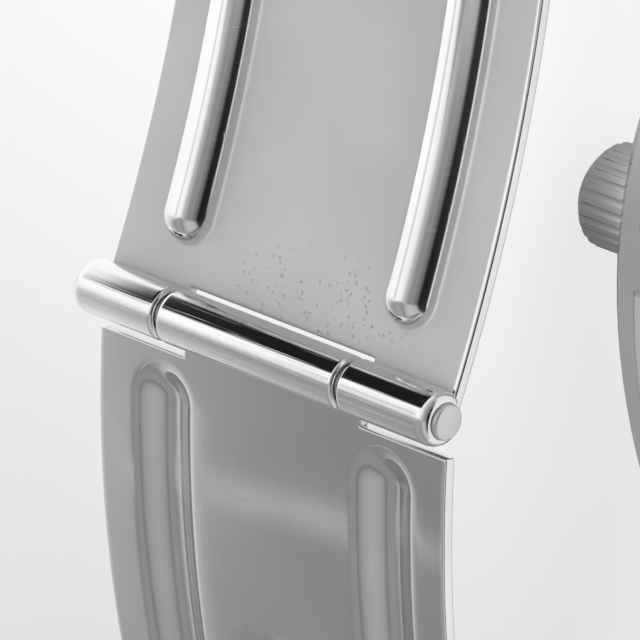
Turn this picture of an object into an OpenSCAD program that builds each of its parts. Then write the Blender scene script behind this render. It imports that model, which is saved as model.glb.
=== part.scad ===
// Bracelet wristwatch with its folding clasp opened out.
// The watch lies on its side: +X points to 12 o'clock, +Z to 9 o'clock, and +Y out of the case back
// towards the wrist. The origin is the middle of the case back's flat face. The bracelet's pins,
// the clasp's hinges and the spring bars all lie along Z.

/* [Case] */
// Radius of the case side
case_r = 18; // [17.6:0.1:19]
// Height of the case middle, from its back face to its front face
body_h = 6.9; // [6.7:0.1:7.4]
// Radius of the bore that holds the movement
bore_r = 14; // [13.9:0.05:14.2]
// Radius of the opening in the front ledge, round the dial
ledge_r = 13.4; // [13.2:0.05:13.6]
// Thickness of the front ledge that the dial rests on
ledge_h = 1.3; // [1.2:0.05:1.5]
// Chamfer on the edges of the case side
case_chamfer = 0.8; // [0.4:0.05:1]
// Gap between parts that are seated on each other
seat_gap = 0.05; // [0.03:0.01:0.1]

/* [Lugs] */
// Distance between the inner faces of a pair of lugs
lug_gap = 18.2; // [18:0.1:18.6]
// Thickness of one lug
lug_t = 2.9; // [2.5:0.1:3.2]
// Distance of the lug's spring bar beyond the case side
lug_out = 1.9; // [1.8:0.05:2.2]
// Distance of the lug's spring bar in front of the case back
lug_drop = 3.6; // [3.4:0.05:3.8]
// Radius of the rounded lug tip
lug_tip_r = 1.9; // [1.7:0.05:2.1]
// Depth of the blind spring bar hole in each lug
lug_hole_l = 1.5; // [1.3:0.1:1.8]

/* [Case back] */
// Radius of the case back's flange
back_r = 15.4; // [15.2:0.05:15.8]
// Thickness of the case back's flange
back_t = 1.6; // [1.5:0.05:1.8]
// Thickness of the case back's flat web
back_web = 1.35; // [1.25:0.05:1.4]
// Wall of the threaded spigot that enters the case
spigot_wall = 0.8; // [0.7:0.05:0.85]
// Length of the threaded spigot
spigot_l = 1.3; // [1.1:0.05:1.35]
// Chamfer on the flange
back_chamfer = 0.5; // [0.3:0.05:0.7]
// Number of key notches in the flange
notches = 6; // [4:1:8]
// Width of a key notch
notch_w = 2.2; // [1.8:0.1:2.6]
// Depth of a key notch, measured inwards from the flange edge
notch_d = 0.9; // [0.7:0.05:1.2]
// Middle radius of the back gasket
gasket_ring_r = 14.7; // [14.66:0.02:14.78]
// Thickness of the back gasket's cord
gasket_cord = 0.48; // [0.4:0.02:0.5]

/* [Bezel and crystal] */
// Outer radius of the bezel
bezel_r = 16.9; // [16.5:0.1:17.2]
// Height of the bezel
bezel_h = 2.1; // [2:0.05:2.3]
// Radius at the top of the bezel's slope
bezel_top_r = 15.1; // [14.9:0.05:15.6]
// Height of the bezel's upright edge
bezel_edge = 0.55; // [0.4:0.05:0.8]
// Radius of the crystal
crystal_r = 13.7; // [13.65:0.01:13.8]
// Thickness of the crystal
crystal_t = 1.6; // [1.4:0.05:1.8]
// Chamfer on the crystal's front edge
crystal_chamfer = 0.35; // [0.2:0.05:0.5]
// Thickness of the crystal's tension ring
tension_t = 0.5; // [0.45:0.01:0.6]
// Height of the crystal's tension ring
tension_h = 1.8; // [1.6:0.05:1.9]
// Height of the inner flange between dial and crystal
rehaut_h = 2.05; // [2:0.05:2.3]
// Width of the inner flange at the dial
rehaut_foot = 0.75; // [0.6:0.05:0.9]
// Width of the inner flange at the crystal
rehaut_top = 0.3; // [0.25:0.05:0.45]

/* [Dial and hands] */
// Thickness of the dial
dial_t = 0.4; // [0.35:0.05:0.5]
// Length of an hour marker
marker_l = 2.2; // [1.6:0.1:2.6]
// Width of an hour marker
marker_w = 0.7; // [0.5:0.05:0.9]
// Height of an hour marker
marker_h = 0.25; // [0.15:0.05:0.3]
// Distance from the middle to the outer end of an hour marker
marker_r = 12.3; // [11.8:0.1:12.4]
// Spacing of the two bars of the marker at 12 o'clock
marker_pair = 1.1; // [1:0.05:1.4]
// Thickness of each hand
hand_t = 0.15; // [0.12:0.01:0.2]
// Gap below each hand
hand_gap = 0.3; // [0.26:0.01:0.36]
// Length of the hour hand
hour_l = 7.6; // [6.8:0.1:8.2]
// Width of the hour hand
hour_w = 1.3; // [1:0.1:1.5]
// Length of the minute hand
minute_l = 11.4; // [10.5:0.1:11.9]
// Width of the minute hand
minute_w = 1; // [0.8:0.1:1.2]
// Length of the second hand
second_l = 11.6; // [10.5:0.1:12]
// Width of the second hand
second_w = 0.35; // [0.3:0.05:0.5]
// Length of the second hand's tail
second_tail = 3.4; // [2.5:0.1:4]
// Outer radius of the hour hand's pipe
hour_pipe_r = 0.8; // [0.78:0.01:0.84]
// Outer radius of the minute hand's pipe
minute_pipe_r = 0.52; // [0.48:0.01:0.56]
// Radius of the second hand's arbor
second_arbor_r = 0.18; // [0.15:0.01:0.22]
// Running clearance of pins, pipes and arbors, on the radius
run_gap = 0.03; // [0.02:0.01:0.06]
// Hour that the hands show
show_hour = 10; // [0:1:11]
// Minute that the hands show
show_minute = 9; // [0:1:59]
// Second that the hands show
show_second = 36; // [0:1:59]

/* [Movement] */
// Thickness of the main plate
plate_t = 2.5; // [2.4:0.05:2.55]
// Thickness of the ring that holds the movement
holder_t = 1; // [0.9:0.05:1.05]
// Thickness of the train bridge
bridge_t = 1.2; // [1.1:0.05:1.25]
// Opening of the train bridge, as an angle
bridge_gap = 100; // [60:5:140]
// Radius of the post that carries the rotor
post_r = 1.2; // [1:0.05:1.5]
// Thickness of the rotor
rotor_t = 0.8; // [0.7:0.05:0.85]
// Radius of the rotor
rotor_r = 12.5; // [11.5:0.1:12.7]
// Gap below the rotor
rotor_gap = 0.2; // [0.15:0.01:0.25]
// Radius of the rotor screw's head
screw_head_r = 1.9; // [1.7:0.05:2.2]
// Height of the rotor screw's head
screw_head_h = 0.25; // [0.2:0.01:0.3]
// Radius of the rotor screw's shank
screw_shank_r = 0.6; // [0.5:0.05:0.7]

/* [Crown] */
// Radius of the crown
crown_r = 1.9; // [1.8:0.05:2.1]
// Length of the crown
crown_l = 2.8; // [2.6:0.1:3.2]
// Gap between the crown and the case side
crown_gap = 0.3; // [0.2:0.05:0.5]
// Distance of the crown's axis in front of the case back
crown_drop = 5.2; // [5.15:0.01:5.25]
// Number of flutes round the crown
flutes = 24; // [16:2:32]
// Radius of one flute
flute_r = 0.16; // [0.12:0.01:0.18]
// Thickness of the crown's cap
crown_cap = 1.2; // [1.1:0.05:1.4]
// Chamfer on the crown's cap
crown_chamfer = 0.35; // [0.2:0.05:0.5]
// Outer radius of the crown tube
tube_r = 1.15; // [1.1:0.01:1.2]
// Bore radius of the crown tube
tube_bore_r = 0.62; // [0.58:0.01:0.7]
// Length of the crown tube that stands out of the case
tube_out = 1.2; // [1:0.05:1.3]
// Thickness of the crown gasket
crown_gasket_t = 0.3; // [0.26:0.01:0.34]
// Length of the crown gasket
crown_gasket_l = 0.6; // [0.4:0.05:0.8]
// Radius of the winding stem
stem_r = 0.45; // [0.4:0.01:0.5]
// Depth of the stem's seat in the crown's cap
stem_seat = 0.6; // [0.4:0.05:0.8]
// Outer radius of the collar on the stem
collar_r = 0.85; // [0.8:0.01:0.9]
// Length of the collar on the stem
collar_l = 1.6; // [1.4:0.1:2]
// Distance of the collar's inner end from the middle
collar_z = 9.3; // [9:0.1:9.5]
// Travel of the crown when it is pulled out
crown_pull = 1.2; // [1:0.1:1.4]

/* [Bracelet] */
// Distance between two link pins
pitch = 7.2; // [7:0.1:7.4]
// Thickness of a link
link_t = 2.8; // [2.6:0.1:2.8]
// Width of the link next to the case
width_case = 17.7; // [17.2:0.1:17.8]
// Width of a link's tongue
tongue_w = 6.4; // [5.8:0.1:6.8]
// Gap beside a tongue, on each side
side_gap = 0.12; // [0.08:0.01:0.2]
// Gap between a link's rounded end and the wall that faces it
end_gap = 0.15; // [0.12:0.01:0.2]
// Reach of the outer lip over the neighbour's rounded end
lip = 0.9; // [0.7:0.05:1]
// Chamfer on the long edges of a link
link_chamfer = 0.3; // [0.2:0.05:0.45]
// Radius of a link pin
pin_r = 0.55; // [0.5:0.01:0.6]
// Distance that a link pin's end lies inside the link's side
pin_inset = 0.15; // [0.1:0.05:0.3]
// Radius of a spring bar's body
bar_r = 0.75; // [0.7:0.01:0.8]
// Radius of a spring bar's tip
bar_tip_r = 0.42; // [0.38:0.01:0.45]
// Number of links on the 12 o'clock side
links_12 = 6; // [6:1:6]
// Number of links on the 6 o'clock side
links_6 = 5; // [5:1:5]
// Distance between the lug's spring bar and the first link pin
end_link_l = 2.9; // [2.8:0.05:3.1]
// Angle of the first link on the 12 o'clock side, below the line of the lugs
rest_first = -8; // [-12:1:-4]
// Rise of an end link's front face where it meets the case
end_rise = 1; // [0.6:0.1:1.2]

/* [Clasp blades] */
// Width of the two blades
blade_w = 15; // [14.6:0.1:15.2]
// Thickness of the blade sheet
sheet_t = 0.4; // [0.35:0.01:0.45]
// Outer radius of a rolled hinge knuckle
knuckle_r = 0.88; // [0.85:0.01:0.92]
// Length of the middle knuckle
knuckle_l = 7.62; // [7.4:0.02:7.8]
// Gap between two knuckles
knuckle_gap = 0.17; // [0.12:0.01:0.22]
// Radius of a hinge pin
hinge_pin_r = 0.575; // [0.54:0.005:0.6]
// Length of a hinge pin's end that stands out towards 9 o'clock
pin_head_l = 0.62; // [0.4:0.02:0.64]
// Length of a hinge pin's end that stands out towards 3 o'clock
pin_tail_l = 0.3; // [0.2:0.02:0.5]
// Place of the blades' hinge towards 12 o'clock
hinge_x = 7.3; // [7:0.1:7.6]
// Place of the blades' hinge beyond the case back
hinge_y = 33.2; // [32.8:0.1:33.6]
// Direction of the ribbed blade at the hinge, above the 12 o'clock line
blade_1_dir = -18.5; // [-19.5:0.5:-17.5]
// Front radius of the ribbed blade
blade_1_r = 52.5; // [50:0.5:54]
// Length of the ribbed blade between its hinges
blade_1_l = 24; // [23.6:0.1:24.4]
// Direction of the grooved blade at the hinge
blade_2_dir = 180.4; // [179.5:0.1:181.5]
// Front radius of the grooved blade
blade_2_r = 42; // [40:0.5:44]
// Length of the grooved blade from the hinge to its eye
blade_2_l = 26.7; // [26.6:0.1:27.1]
// Clear length beside a knuckle at the ribbed blade's ends
clear_1 = 0.95; // [0.9:0.01:1.1]
// Clear length beside a knuckle at the grooved blade's end
clear_2 = 1.43; // [1.3:0.01:1.5]
// Distance of the ribs and grooves from the middle line
rib_z = 4.72; // [4.6:0.02:4.8]
// Width of a raised rib
rib_w = 2.15; // [2:0.05:2.3]
// Height of a raised rib
rib_h = 0.6; // [0.5:0.02:0.65]
// Distance from the hinge to the rib's rounded end
rib_end = 2.35; // [2.2:0.05:2.6]
// Width of a groove
groove_w = 2.75; // [2.6:0.05:2.9]
// Depth of a groove
groove_h = 0.6; // [0.55:0.01:0.7]
// Distance from the hinge to the groove's rounded end
groove_end = 2; // [1.9:0.05:2.2]
// Radius of the plain stamped dimple in the grooved blade
dimple_r = 1.7; // [1.4:0.05:2]
// Depth of the dimple
dimple_h = 0.15; // [0.1:0.01:0.2]
// Distance from the hinge to the middle of the dimple
dimple_s = 11.4; // [11:0.1:12]
// Width of the grooved blade's tongue that ends in the eye
eye_w = 9.4; // [9:0.1:9.6]
// Outer radius of the eye
eye_r = 0.98; // [0.95:0.01:1]
// Radius of the eye's bar
eye_bar_r = 0.62; // [0.58:0.01:0.66]
// Length of the tongue between the blade's shoulders and the eye's axis
eye_reach = 3; // [2.95:0.05:3.4]
// Depth of the slot for the eye in the last link of the 6 o'clock side, from the bar's holes
eye_slot = 2.85; // [2.8:0.05:3]

/* [Clasp cover] */
// Gap between a blade's edge and the cover's side wall
cover_side = 0.85; // [0.8:0.05:1]
// Gap between the last link and the cover's side wall
link_side = 0.25; // [0.2:0.05:0.4]
// Thickness of the cover's side walls
flange_t = 0.8; // [0.7:0.05:1]
// Thickness of the cover's plate
cover_t = 0.8; // [0.7:0.02:0.84]
// Length of the cover beyond its hinge
cover_l = 36; // [35.6:0.1:36.6]
// Reach of the side walls before the hinge
cover_lead = 1.2; // [1:0.1:1.5]
// Depth of the side walls below the blade's front face
flange_d = 2.2; // [2:0.1:2.4]
// Distance from the hinge to the first adjusting hole
hole_s = 27.4; // [27.2:0.1:27.8]
// Spacing of the adjusting holes
hole_pitch = 2.9; // [2.7:0.1:3]
// Number of adjusting holes in each side wall
holes = 3; // [3:1:3]
// Which adjusting hole holds the bar, counted from the hinge
hole_used = 2; // [2:1:2]
// Gap between the last link and the cover's plate
cover_link_gap = 0.16; // [0.14:0.01:0.2]
// Width of the catch inside the cover
catch_w = 6; // [5:0.1:6.8]
// Thickness of the catch
catch_t = 0.3; // [0.25:0.01:0.35]
// Length of the catch's seat under the cover's plate
catch_l = 1.2; // [1:0.05:1.4]
// Reach of the catch beyond the shut hinge's axis
catch_d = 0.1; // [0:0.05:0.2]
// Gap between the catch and the shut hinge
catch_gap = 0.12; // [0.11:0.01:0.2]

/* [Hidden] */
$fn = 96;
eps = 0.01;
press_gap = 0.01;
// Small step where two pieces of one body overlap, so that no faces coincide
lap = 0.01;

// Levels in front of the case back, along Y
y_body_back = -back_t - seat_gap;
y_body_front = y_body_back - body_h;
y_ledge = y_body_front + ledge_h;
y_dial_face = y_ledge + seat_gap;
y_dial_back = y_dial_face + dial_t;
y_plate_front = y_dial_back + seat_gap;
y_plate_back = y_plate_front + plate_t;
y_bridge_front = y_plate_back + seat_gap;
y_bridge_back = y_bridge_front + bridge_t;
y_rotor_front = y_bridge_back + rotor_gap;
y_rotor_back = y_rotor_front + rotor_t;
y_rehaut_front = y_dial_face - seat_gap - rehaut_h;
y_crystal_back = y_rehaut_front - seat_gap;
y_hour = y_dial_face - marker_h - hand_gap;
y_minute = y_hour - hand_t - hand_gap;
y_second = y_minute - hand_t - hand_gap;
y_spigot_end = -back_t - spigot_l;

// Radii inside the case
spigot_r = bore_r - seat_gap;
holder_r = bore_r - seat_gap;
plate_r = holder_r - holder_t - seat_gap;
dial_r = bore_r - seat_gap;
rehaut_r = ledge_r - seat_gap;
tension_r = crystal_r + seat_gap + tension_t;
bezel_bore_r = tension_r + seat_gap;
hour_bore_r = minute_pipe_r + run_gap;
minute_bore_r = second_arbor_r + run_gap;
dial_hole_r = hour_pipe_r + run_gap + seat_gap;
groove_wall = seat_gap / 2;

// Hand angles, clockwise from 12 o'clock
second_turn = show_second * 6;
minute_turn = show_minute * 6 + show_second / 10;
hour_turn = show_hour * 30 + minute_turn / 12;

// Places along the crown's axis, measured from the middle towards 3 o'clock
crown_in = case_r + crown_gap;
crown_out = crown_in + crown_l;
crown_floor = crown_out - crown_cap;
tube_in = bore_r + seat_gap;
tube_end = case_r + tube_out;
crown_bore_r = tube_r + run_gap + crown_gasket_t + press_gap;
stem_out = crown_floor + stem_seat;
stem_in = collar_z - collar_l;
pocket_end = collar_z + collar_l + crown_pull + run_gap;

// Link sizes
lug_x = case_r + lug_out;
cover_gap = blade_w + 2 * cover_side;
width_clasp = cover_gap - 2 * link_side;
link_r = link_t / 2;
wall_x = link_r + end_gap;
tongue_half = tongue_w / 2;
fork_half = tongue_half + side_gap;
end_pivot_x = lug_x + end_link_l;
end_pin_y = -lug_drop;

function dir(a) = [cos(a), sin(a)];
function turn(v, a) = [v[0] * cos(a) - v[1] * sin(a), v[0] * sin(a) + v[1] * cos(a)];
function heading(v) = atan2(v[1], v[0]);
function arc_deg(s, r) = s / r * 180 / PI;
// Radius of a round bar whose exposed cap is w wide and h high
function cap_r(w, h) = (w * w / 4 + h * h) / (2 * h);
// Width of the link number i, counted from the case
function link_w(i, n) = width_case + (width_clasp - width_case) * i / (n - 1);
// Place of pin number i on a row of links that starts at s and bends by b at each pin
function row_point(s, d, b, i) = i == 0 ? s : s + pitch * sin(i * b / 2) / sin(b / 2) * dir(d + (i - 1) * b / 2);

// Hinge between the blades, and the two blades' arcs
hinge_b = [hinge_x, hinge_y];
front_back = knuckle_r - sheet_t;
centre_1 = hinge_b + (blade_1_r - front_back) * dir(blade_1_dir + 90);
angle_1b = blade_1_dir - 90;
angle_1a = angle_1b + arc_deg(blade_1_l, blade_1_r);
hinge_a = centre_1 + (blade_1_r + knuckle_r) * dir(angle_1a);
centre_2 = hinge_b - (blade_2_r + front_back) * dir(blade_2_dir - 90);
angle_2b = blade_2_dir - 90;
angle_2c = angle_2b + arc_deg(blade_2_l, blade_2_r);
eye = centre_2 + (blade_2_r - sheet_t / 2) * dir(angle_2c);

// The cover's arcs, as it lies when the clasp is shut on the ribbed blade
cover_out_r = blade_1_r + 2 * knuckle_r;
cover_in_r = cover_out_r - cover_t;
cover_half = cover_gap / 2 + flange_t;
hole_r = cover_in_r - cover_link_gap - link_r;
bar_s = hole_s + (hole_used - 1) * hole_pitch;
bar_shut = centre_1 + hole_r * dir(angle_1a - arc_deg(bar_s, blade_1_r));
bar_reach = norm(bar_shut - hinge_a);

// The 12 o'clock links bend evenly until their end lies at the bar's distance from the cover's hinge
pivot_12 = [end_pivot_x, end_pin_y];
pivot_6 = [-end_pivot_x, end_pin_y];
function reach_error(b) = norm(row_point(pivot_12, rest_first, b, links_12) - hinge_a) - bar_reach;
function solve_12(lo, hi, k) =
    let (mid = (lo + hi) / 2)
    k == 0 ? mid : reach_error(mid) > 0 ? solve_12(mid, hi, k - 1) : solve_12(lo, mid, k - 1);
bend_12 = solve_12(0.1, 34, 40);
bar = row_point(pivot_12, rest_first, bend_12, links_12);
cover_turn = heading(bar - hinge_a) - heading(bar_shut - hinge_a);

// The 6 o'clock links bend evenly between the end link's pin and the grooved blade's eye
chord_6 = norm(eye - pivot_6);
function solve_6(lo, hi, k) =
    let (mid = (lo + hi) / 2)
    k == 0 ? mid
        : sin(links_6 * mid / 2) / sin(mid / 2) > chord_6 / pitch ? solve_6(mid, hi, k - 1)
        : solve_6(lo, mid, k - 1);
bend_6 = -solve_6(0.1, 60, 40);
first_6 = heading(eye - pivot_6) - (links_6 - 1) * bend_6 / 2;

// A lathe-turned piece about the Y axis, from an outline of radius and level
module lathe(outline) {
    rotate([-90, 0, 0])
        rotate_extrude()
            polygon(outline);
}

// A round bar along Z at a point of the XY plane
module bar_z(p, r, z0, z1) {
    translate([p[0], p[1], z0])
        cylinder(r = r, h = z1 - z0);
}

// A flat outline in the XY plane, raised between two levels of Z
module slab(z0, z1) {
    translate([0, 0, z0])
        linear_extrude(height = z1 - z0)
            children();
}

// A band of sheet that follows an arc about a centre
module band(centre, r0, r1, a0, a1, z0, z1) {
    translate([centre[0], centre[1], 0])
        rotate([0, 0, a0])
            rotate_extrude(angle = a1 - a0)
                translate([r0, z0])
                    square([r1 - r0, z1 - z0]);
}

// A round bar with ball ends that follows an arc about a centre
module arc_bar(centre, path_r, r, a0, a1, z) {
    translate([centre[0], centre[1], 0]) {
        rotate([0, 0, a0])
            rotate_extrude(angle = a1 - a0)
                translate([path_r, z])
                    circle(r = r);
        for (a = [a0, a1])
            translate([path_r * cos(a), path_r * sin(a), z])
                sphere(r = r + lap);
    }
}

// The case middle: a ring with four lugs
module case_middle() {
    lug_half = lug_gap / 2;
    lug_root = bore_r - 2;
    groove_half = gasket_cord / 2 + groove_wall;
    color("silver")
    difference() {
        union() {
            lathe([[bore_r, y_body_back], [case_r - case_chamfer, y_body_back],
                [case_r, y_body_back - case_chamfer], [case_r, y_body_front + case_chamfer],
                [case_r - case_chamfer, y_body_front], [ledge_r, y_body_front],
                [ledge_r, y_ledge], [bore_r, y_ledge]]);
            for (side = [-1, 1])
                for (z = [-lug_half - lug_t, lug_half])
                    slab(z, z + lug_t)
                        scale_side(side)
                            lug_outline(lug_root);
        }
        for (side = [-1, 1])
            bar_z([side * lug_x, -lug_drop], bar_tip_r + run_gap, -lug_half - lug_hole_l,
                lug_half + lug_hole_l);
        translate([0, -crown_drop, -case_r - eps])
            cylinder(r = tube_r + press_gap, h = case_r - ledge_r);
        translate([0, y_body_back + eps, 0])
            lathe([[gasket_ring_r - groove_half, 0], [gasket_ring_r + groove_half, 0],
                [gasket_ring_r + groove_half, -2 * groove_half], [gasket_ring_r - groove_half, -2 * groove_half]]);
    }
}

// Mirrors an outline to the 6 o'clock side
module scale_side(side) {
    mirror([side < 0 ? 1 : 0, 0, 0])
        children();
}

// Side view of one lug
module lug_outline(root) {
    translate([lug_x, -lug_drop])
        circle(r = lug_tip_r);
    polygon([[root, y_body_back], [lug_x, lug_tip_r - lug_drop],
        [lug_x + lug_tip_r * cos(50), -lug_drop - lug_tip_r * sin(50)],
        [case_r - case_chamfer, y_body_front + case_chamfer / 2],
        [root, y_body_front + case_chamfer / 2]]);
}

module bezel() {
    y0 = y_body_front - seat_gap;
    color("gainsboro")
    lathe([[bezel_bore_r, y0], [bezel_r, y0], [bezel_r, y0 - bezel_edge],
        [bezel_top_r, y0 - bezel_h], [bezel_bore_r, y0 - bezel_h]]);
}

module crystal() {
    y1 = y_crystal_back - crystal_t;
    color("lightcyan", 0.4)
    lathe([[0, y_crystal_back], [crystal_r, y_crystal_back], [crystal_r, y1 + crystal_chamfer],
        [crystal_r - crystal_chamfer, y1], [0, y1]]);
}

module crystal_gasket() {
    y0 = y_body_front - seat_gap;
    color("white")
    lathe([[crystal_r + seat_gap, y0], [tension_r, y0], [tension_r, y0 - tension_h],
        [crystal_r + seat_gap, y0 - tension_h]]);
}

module rehaut() {
    y0 = y_dial_face - seat_gap;
    color("lightgray")
    lathe([[rehaut_r - rehaut_foot, y0], [rehaut_r, y0], [rehaut_r, y_rehaut_front],
        [rehaut_r - rehaut_top, y_rehaut_front]]);
}

module dial() {
    color("white")
    lathe([[dial_hole_r, y_dial_face], [dial_r, y_dial_face], [dial_r, y_dial_back],
        [dial_hole_r, y_dial_back]]);
}

module hour_markers() {
    color("dimgray")
    for (i = [0 : 11])
        rotate([0, 30 * i, 0])
            for (z = i == 0 ? [-marker_pair / 2, marker_pair / 2] : [0])
                translate([marker_r - marker_l, y_dial_face - marker_h, z - marker_w / 2])
                    cube([marker_l, marker_h, marker_w]);
}

module movement_holder() {
    color("lightgray")
    difference() {
        lathe([[holder_r - holder_t, y_plate_front], [holder_r, y_plate_front],
            [holder_r, y_spigot_end - seat_gap], [holder_r - holder_t, y_spigot_end - seat_gap]]);
        stem_hole(tube_bore_r);
    }
}

// A hole along the crown's axis, through whatever surrounds it
module stem_hole(r) {
    translate([0, -crown_drop, -case_r])
        cylinder(r = r, h = case_r - stem_in + seat_gap);
}

module main_plate() {
    color("goldenrod")
    difference() {
        lathe([[dial_hole_r, y_plate_front], [plate_r, y_plate_front], [plate_r, y_plate_back],
            [dial_hole_r, y_plate_back]]);
        stem_hole(stem_r + run_gap);
        translate([0, -crown_drop, -plate_r - eps])
            cylinder(r = collar_r + run_gap, h = plate_r + eps - collar_z + run_gap);
        rotor_shank(screw_shank_r + press_gap);
    }
}

// The rotor screw's shank, also used for its hole
module rotor_shank(r) {
    translate([0, y_bridge_back - bridge_t / 2, 0])
        rotate([-90, 0, 0])
            cylinder(r = r, h = y_rotor_back - y_bridge_back + bridge_t / 2);
}

module train_bridge() {
    color("darkkhaki")
    difference() {
        union() {
            rotate([-90, 0, 0])
                translate([0, 0, y_bridge_front])
                    rotate([0, 0, -90 + bridge_gap / 2])
                        rotate_extrude(angle = 360 - bridge_gap)
                            square([plate_r, bridge_t]);
            lathe([[0, y_bridge_back - bridge_t / 2], [post_r, y_bridge_back - bridge_t / 2],
                [post_r, y_rotor_back + run_gap], [0, y_rotor_back + run_gap]]);
        }
        rotor_shank(screw_shank_r + press_gap);
        translate([0, y_rotor_back, 0])
            rotate([-90, 0, 0])
                cylinder(r = screw_shank_r + press_gap, h = 1);
    }
}

module rotor_screw() {
    y0 = y_rotor_back + run_gap + press_gap;
    color("slategray")
    union() {
        rotate([-90, 0, 0])
            translate([0, 0, y0])
                cylinder(r = screw_head_r, h = screw_head_h);
        rotate([-90, 0, 0])
            translate([0, 0, y_bridge_back - bridge_t / 2 + press_gap])
                cylinder(r = screw_shank_r, h = y0 - y_bridge_back + bridge_t / 2);
    }
}

module rotor() {
    rim_in = rotor_r * 0.72;
    color("darkgray")
    difference() {
        union() {
            rotate([-90, 0, 0])
                translate([0, 0, y_rotor_front])
                    rotate_extrude(angle = 180)
                        square([rotor_r, rotor_t * 0.5]);
            rotate([-90, 0, 0])
                translate([0, 0, y_rotor_front])
                    rotate_extrude(angle = 180)
                        translate([rim_in, 0])
                            square([rotor_r - rim_in, rotor_t]);
            lathe([[0, y_rotor_front], [post_r + screw_head_r, y_rotor_front],
                [post_r + screw_head_r, y_rotor_front + rotor_t], [0, y_rotor_front + rotor_t]]);
        }
        translate([0, y_rotor_front - 1, 0])
            rotate([-90, 0, 0])
                cylinder(r = post_r + run_gap, h = rotor_t + 2);
    }
}

module case_back() {
    y1 = -back_t;
    color("silver")
    difference() {
        lathe([[0, 0], [back_r - back_chamfer, 0], [back_r, -back_chamfer], [back_r, y1],
            [spigot_r, y1], [spigot_r, y_spigot_end], [spigot_r - spigot_wall, y_spigot_end],
            [spigot_r - spigot_wall, -back_web], [0, -back_web]]);
        for (i = [0 : notches - 1])
            rotate([0, 360 / notches * (i + 0.5), 0])
                translate([back_r - notch_d, y1 + seat_gap * 6, -notch_w / 2])
                    cube([notch_d + 1, back_t, notch_w]);
    }
}

module back_gasket() {
    color("black")
    rotate([-90, 0, 0])
        translate([0, 0, y_body_back - groove_wall - gasket_cord / 2])
            rotate_extrude()
                translate([gasket_ring_r, 0])
                    circle(d = gasket_cord);
}

module crown_tube() {
    color("silver")
    translate([0, -crown_drop, -tube_end])
        difference() {
            cylinder(r = tube_r, h = tube_end - tube_in);
            translate([0, 0, -1])
                cylinder(r = tube_bore_r, h = tube_end - tube_in + 2);
        }
}

module crown() {
    color("silver")
    translate([0, -crown_drop, 0])
        mirror([0, 0, 1])
            difference() {
                rotate_extrude()
                    polygon([[0, crown_in], [crown_r, crown_in], [crown_r, crown_out - crown_chamfer],
                        [crown_r - crown_chamfer, crown_out], [0, crown_out]]);
                translate([0, 0, crown_in - 1])
                    cylinder(r = crown_bore_r, h = crown_floor - crown_in + 1);
                translate([0, 0, crown_floor - 1])
                    cylinder(r = stem_r + press_gap, h = 1 + stem_seat + press_gap);
                for (i = [0 : flutes - 1])
                    rotate([0, 0, 360 / flutes * i])
                        translate([crown_r + flute_r / 2, 0, crown_in - 1])
                            cylinder(r = flute_r, h = crown_l + 2, $fn = 24);
            }
}

module crown_gasket() {
    r0 = tube_r + run_gap;
    color("black")
    translate([0, -crown_drop, -tube_end])
        difference() {
            cylinder(r = r0 + crown_gasket_t, h = crown_gasket_l);
            translate([0, 0, -1])
                cylinder(r = r0, h = crown_gasket_l + 2);
        }
}

module winding_stem() {
    color("slategray")
    translate([0, -crown_drop, -stem_out])
        cylinder(r = stem_r, h = stem_out - stem_in);
}

module stem_collar() {
    color("goldenrod")
    translate([0, -crown_drop, -collar_z - collar_l])
        difference() {
            cylinder(r = collar_r, h = collar_l);
            translate([0, 0, -1])
                cylinder(r = stem_r + run_gap, h = collar_l + 2);
        }
}

// A hand with a round boss, pointing to 12 o'clock, with its back face on level y
module hand(y, length, width, tail, boss_r) {
    translate([0, y - hand_t, 0]) {
        rotate([-90, 0, 0])
            cylinder(r = boss_r, h = hand_t);
        translate([-tail, 0, -width / 2])
            cube([length + tail, hand_t, width]);
    }
}

// A pipe about the Y axis from a hand back into the movement
module pipe(y, r, bore) {
    difference() {
        children();
        translate([0, y - 1, 0])
            rotate([-90, 0, 0])
                cylinder(r = bore, h = y_plate_back - y + 2);
    }
}

module hour_hand() {
    y1 = y_plate_front + plate_t / 3;
    color("dimgray")
    rotate([0, hour_turn, 0])
        pipe(y_hour, hour_pipe_r, hour_bore_r)
            union() {
                hand(y_hour, hour_l, hour_w, 0, hour_pipe_r + 0.35);
                translate([0, y_hour - hand_t, 0])
                    rotate([-90, 0, 0])
                        cylinder(r = hour_pipe_r, h = y1 - y_hour + hand_t);
            }
}

module minute_hand() {
    y1 = y_plate_front + plate_t / 2;
    color("dimgray")
    rotate([0, minute_turn, 0])
        pipe(y_minute, minute_pipe_r, minute_bore_r)
            union() {
                hand(y_minute, minute_l, minute_w, 0, hour_pipe_r);
                translate([0, y_minute - hand_t, 0])
                    rotate([-90, 0, 0])
                        cylinder(r = minute_pipe_r, h = y1 - y_minute + hand_t);
            }
}

module second_hand() {
    y1 = y_plate_front + plate_t * 2 / 3;
    color("dimgray")
    rotate([0, second_turn, 0]) {
        hand(y_second, second_l, second_w, second_tail, minute_pipe_r);
        translate([0, y_second - hand_t, 0])
            rotate([-90, 0, 0])
                cylinder(r = second_arbor_r, h = y1 - y_second + hand_t);
    }
}

// A chamfered bar along X that trims the long edges of a link
module edge_trim(w, h, x0, x1) {
    c = link_chamfer;
    translate([x0, 0, 0])
        rotate([90, 0, 90])
            linear_extrude(height = x1 - x0)
                polygon([[-h, -w + c], [-h + c, -w], [h - c, -w], [h, -w + c],
                    [h, w - c], [h - c, w], [-h + c, w], [-h, w - c]]);
}

// Outline of a link's block, with a lip over the rounded end at x on its outer half
module lip_outline(x, way) {
    difference() {
        translate([x, 0])
            mirror([way < 0 ? 1 : 0, 0])
                translate([wall_x - lip, end_gap])
                    square([lip + end_gap, link_r - end_gap]);
        translate([x, 0])
            circle(r = wall_x);
    }
}

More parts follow.
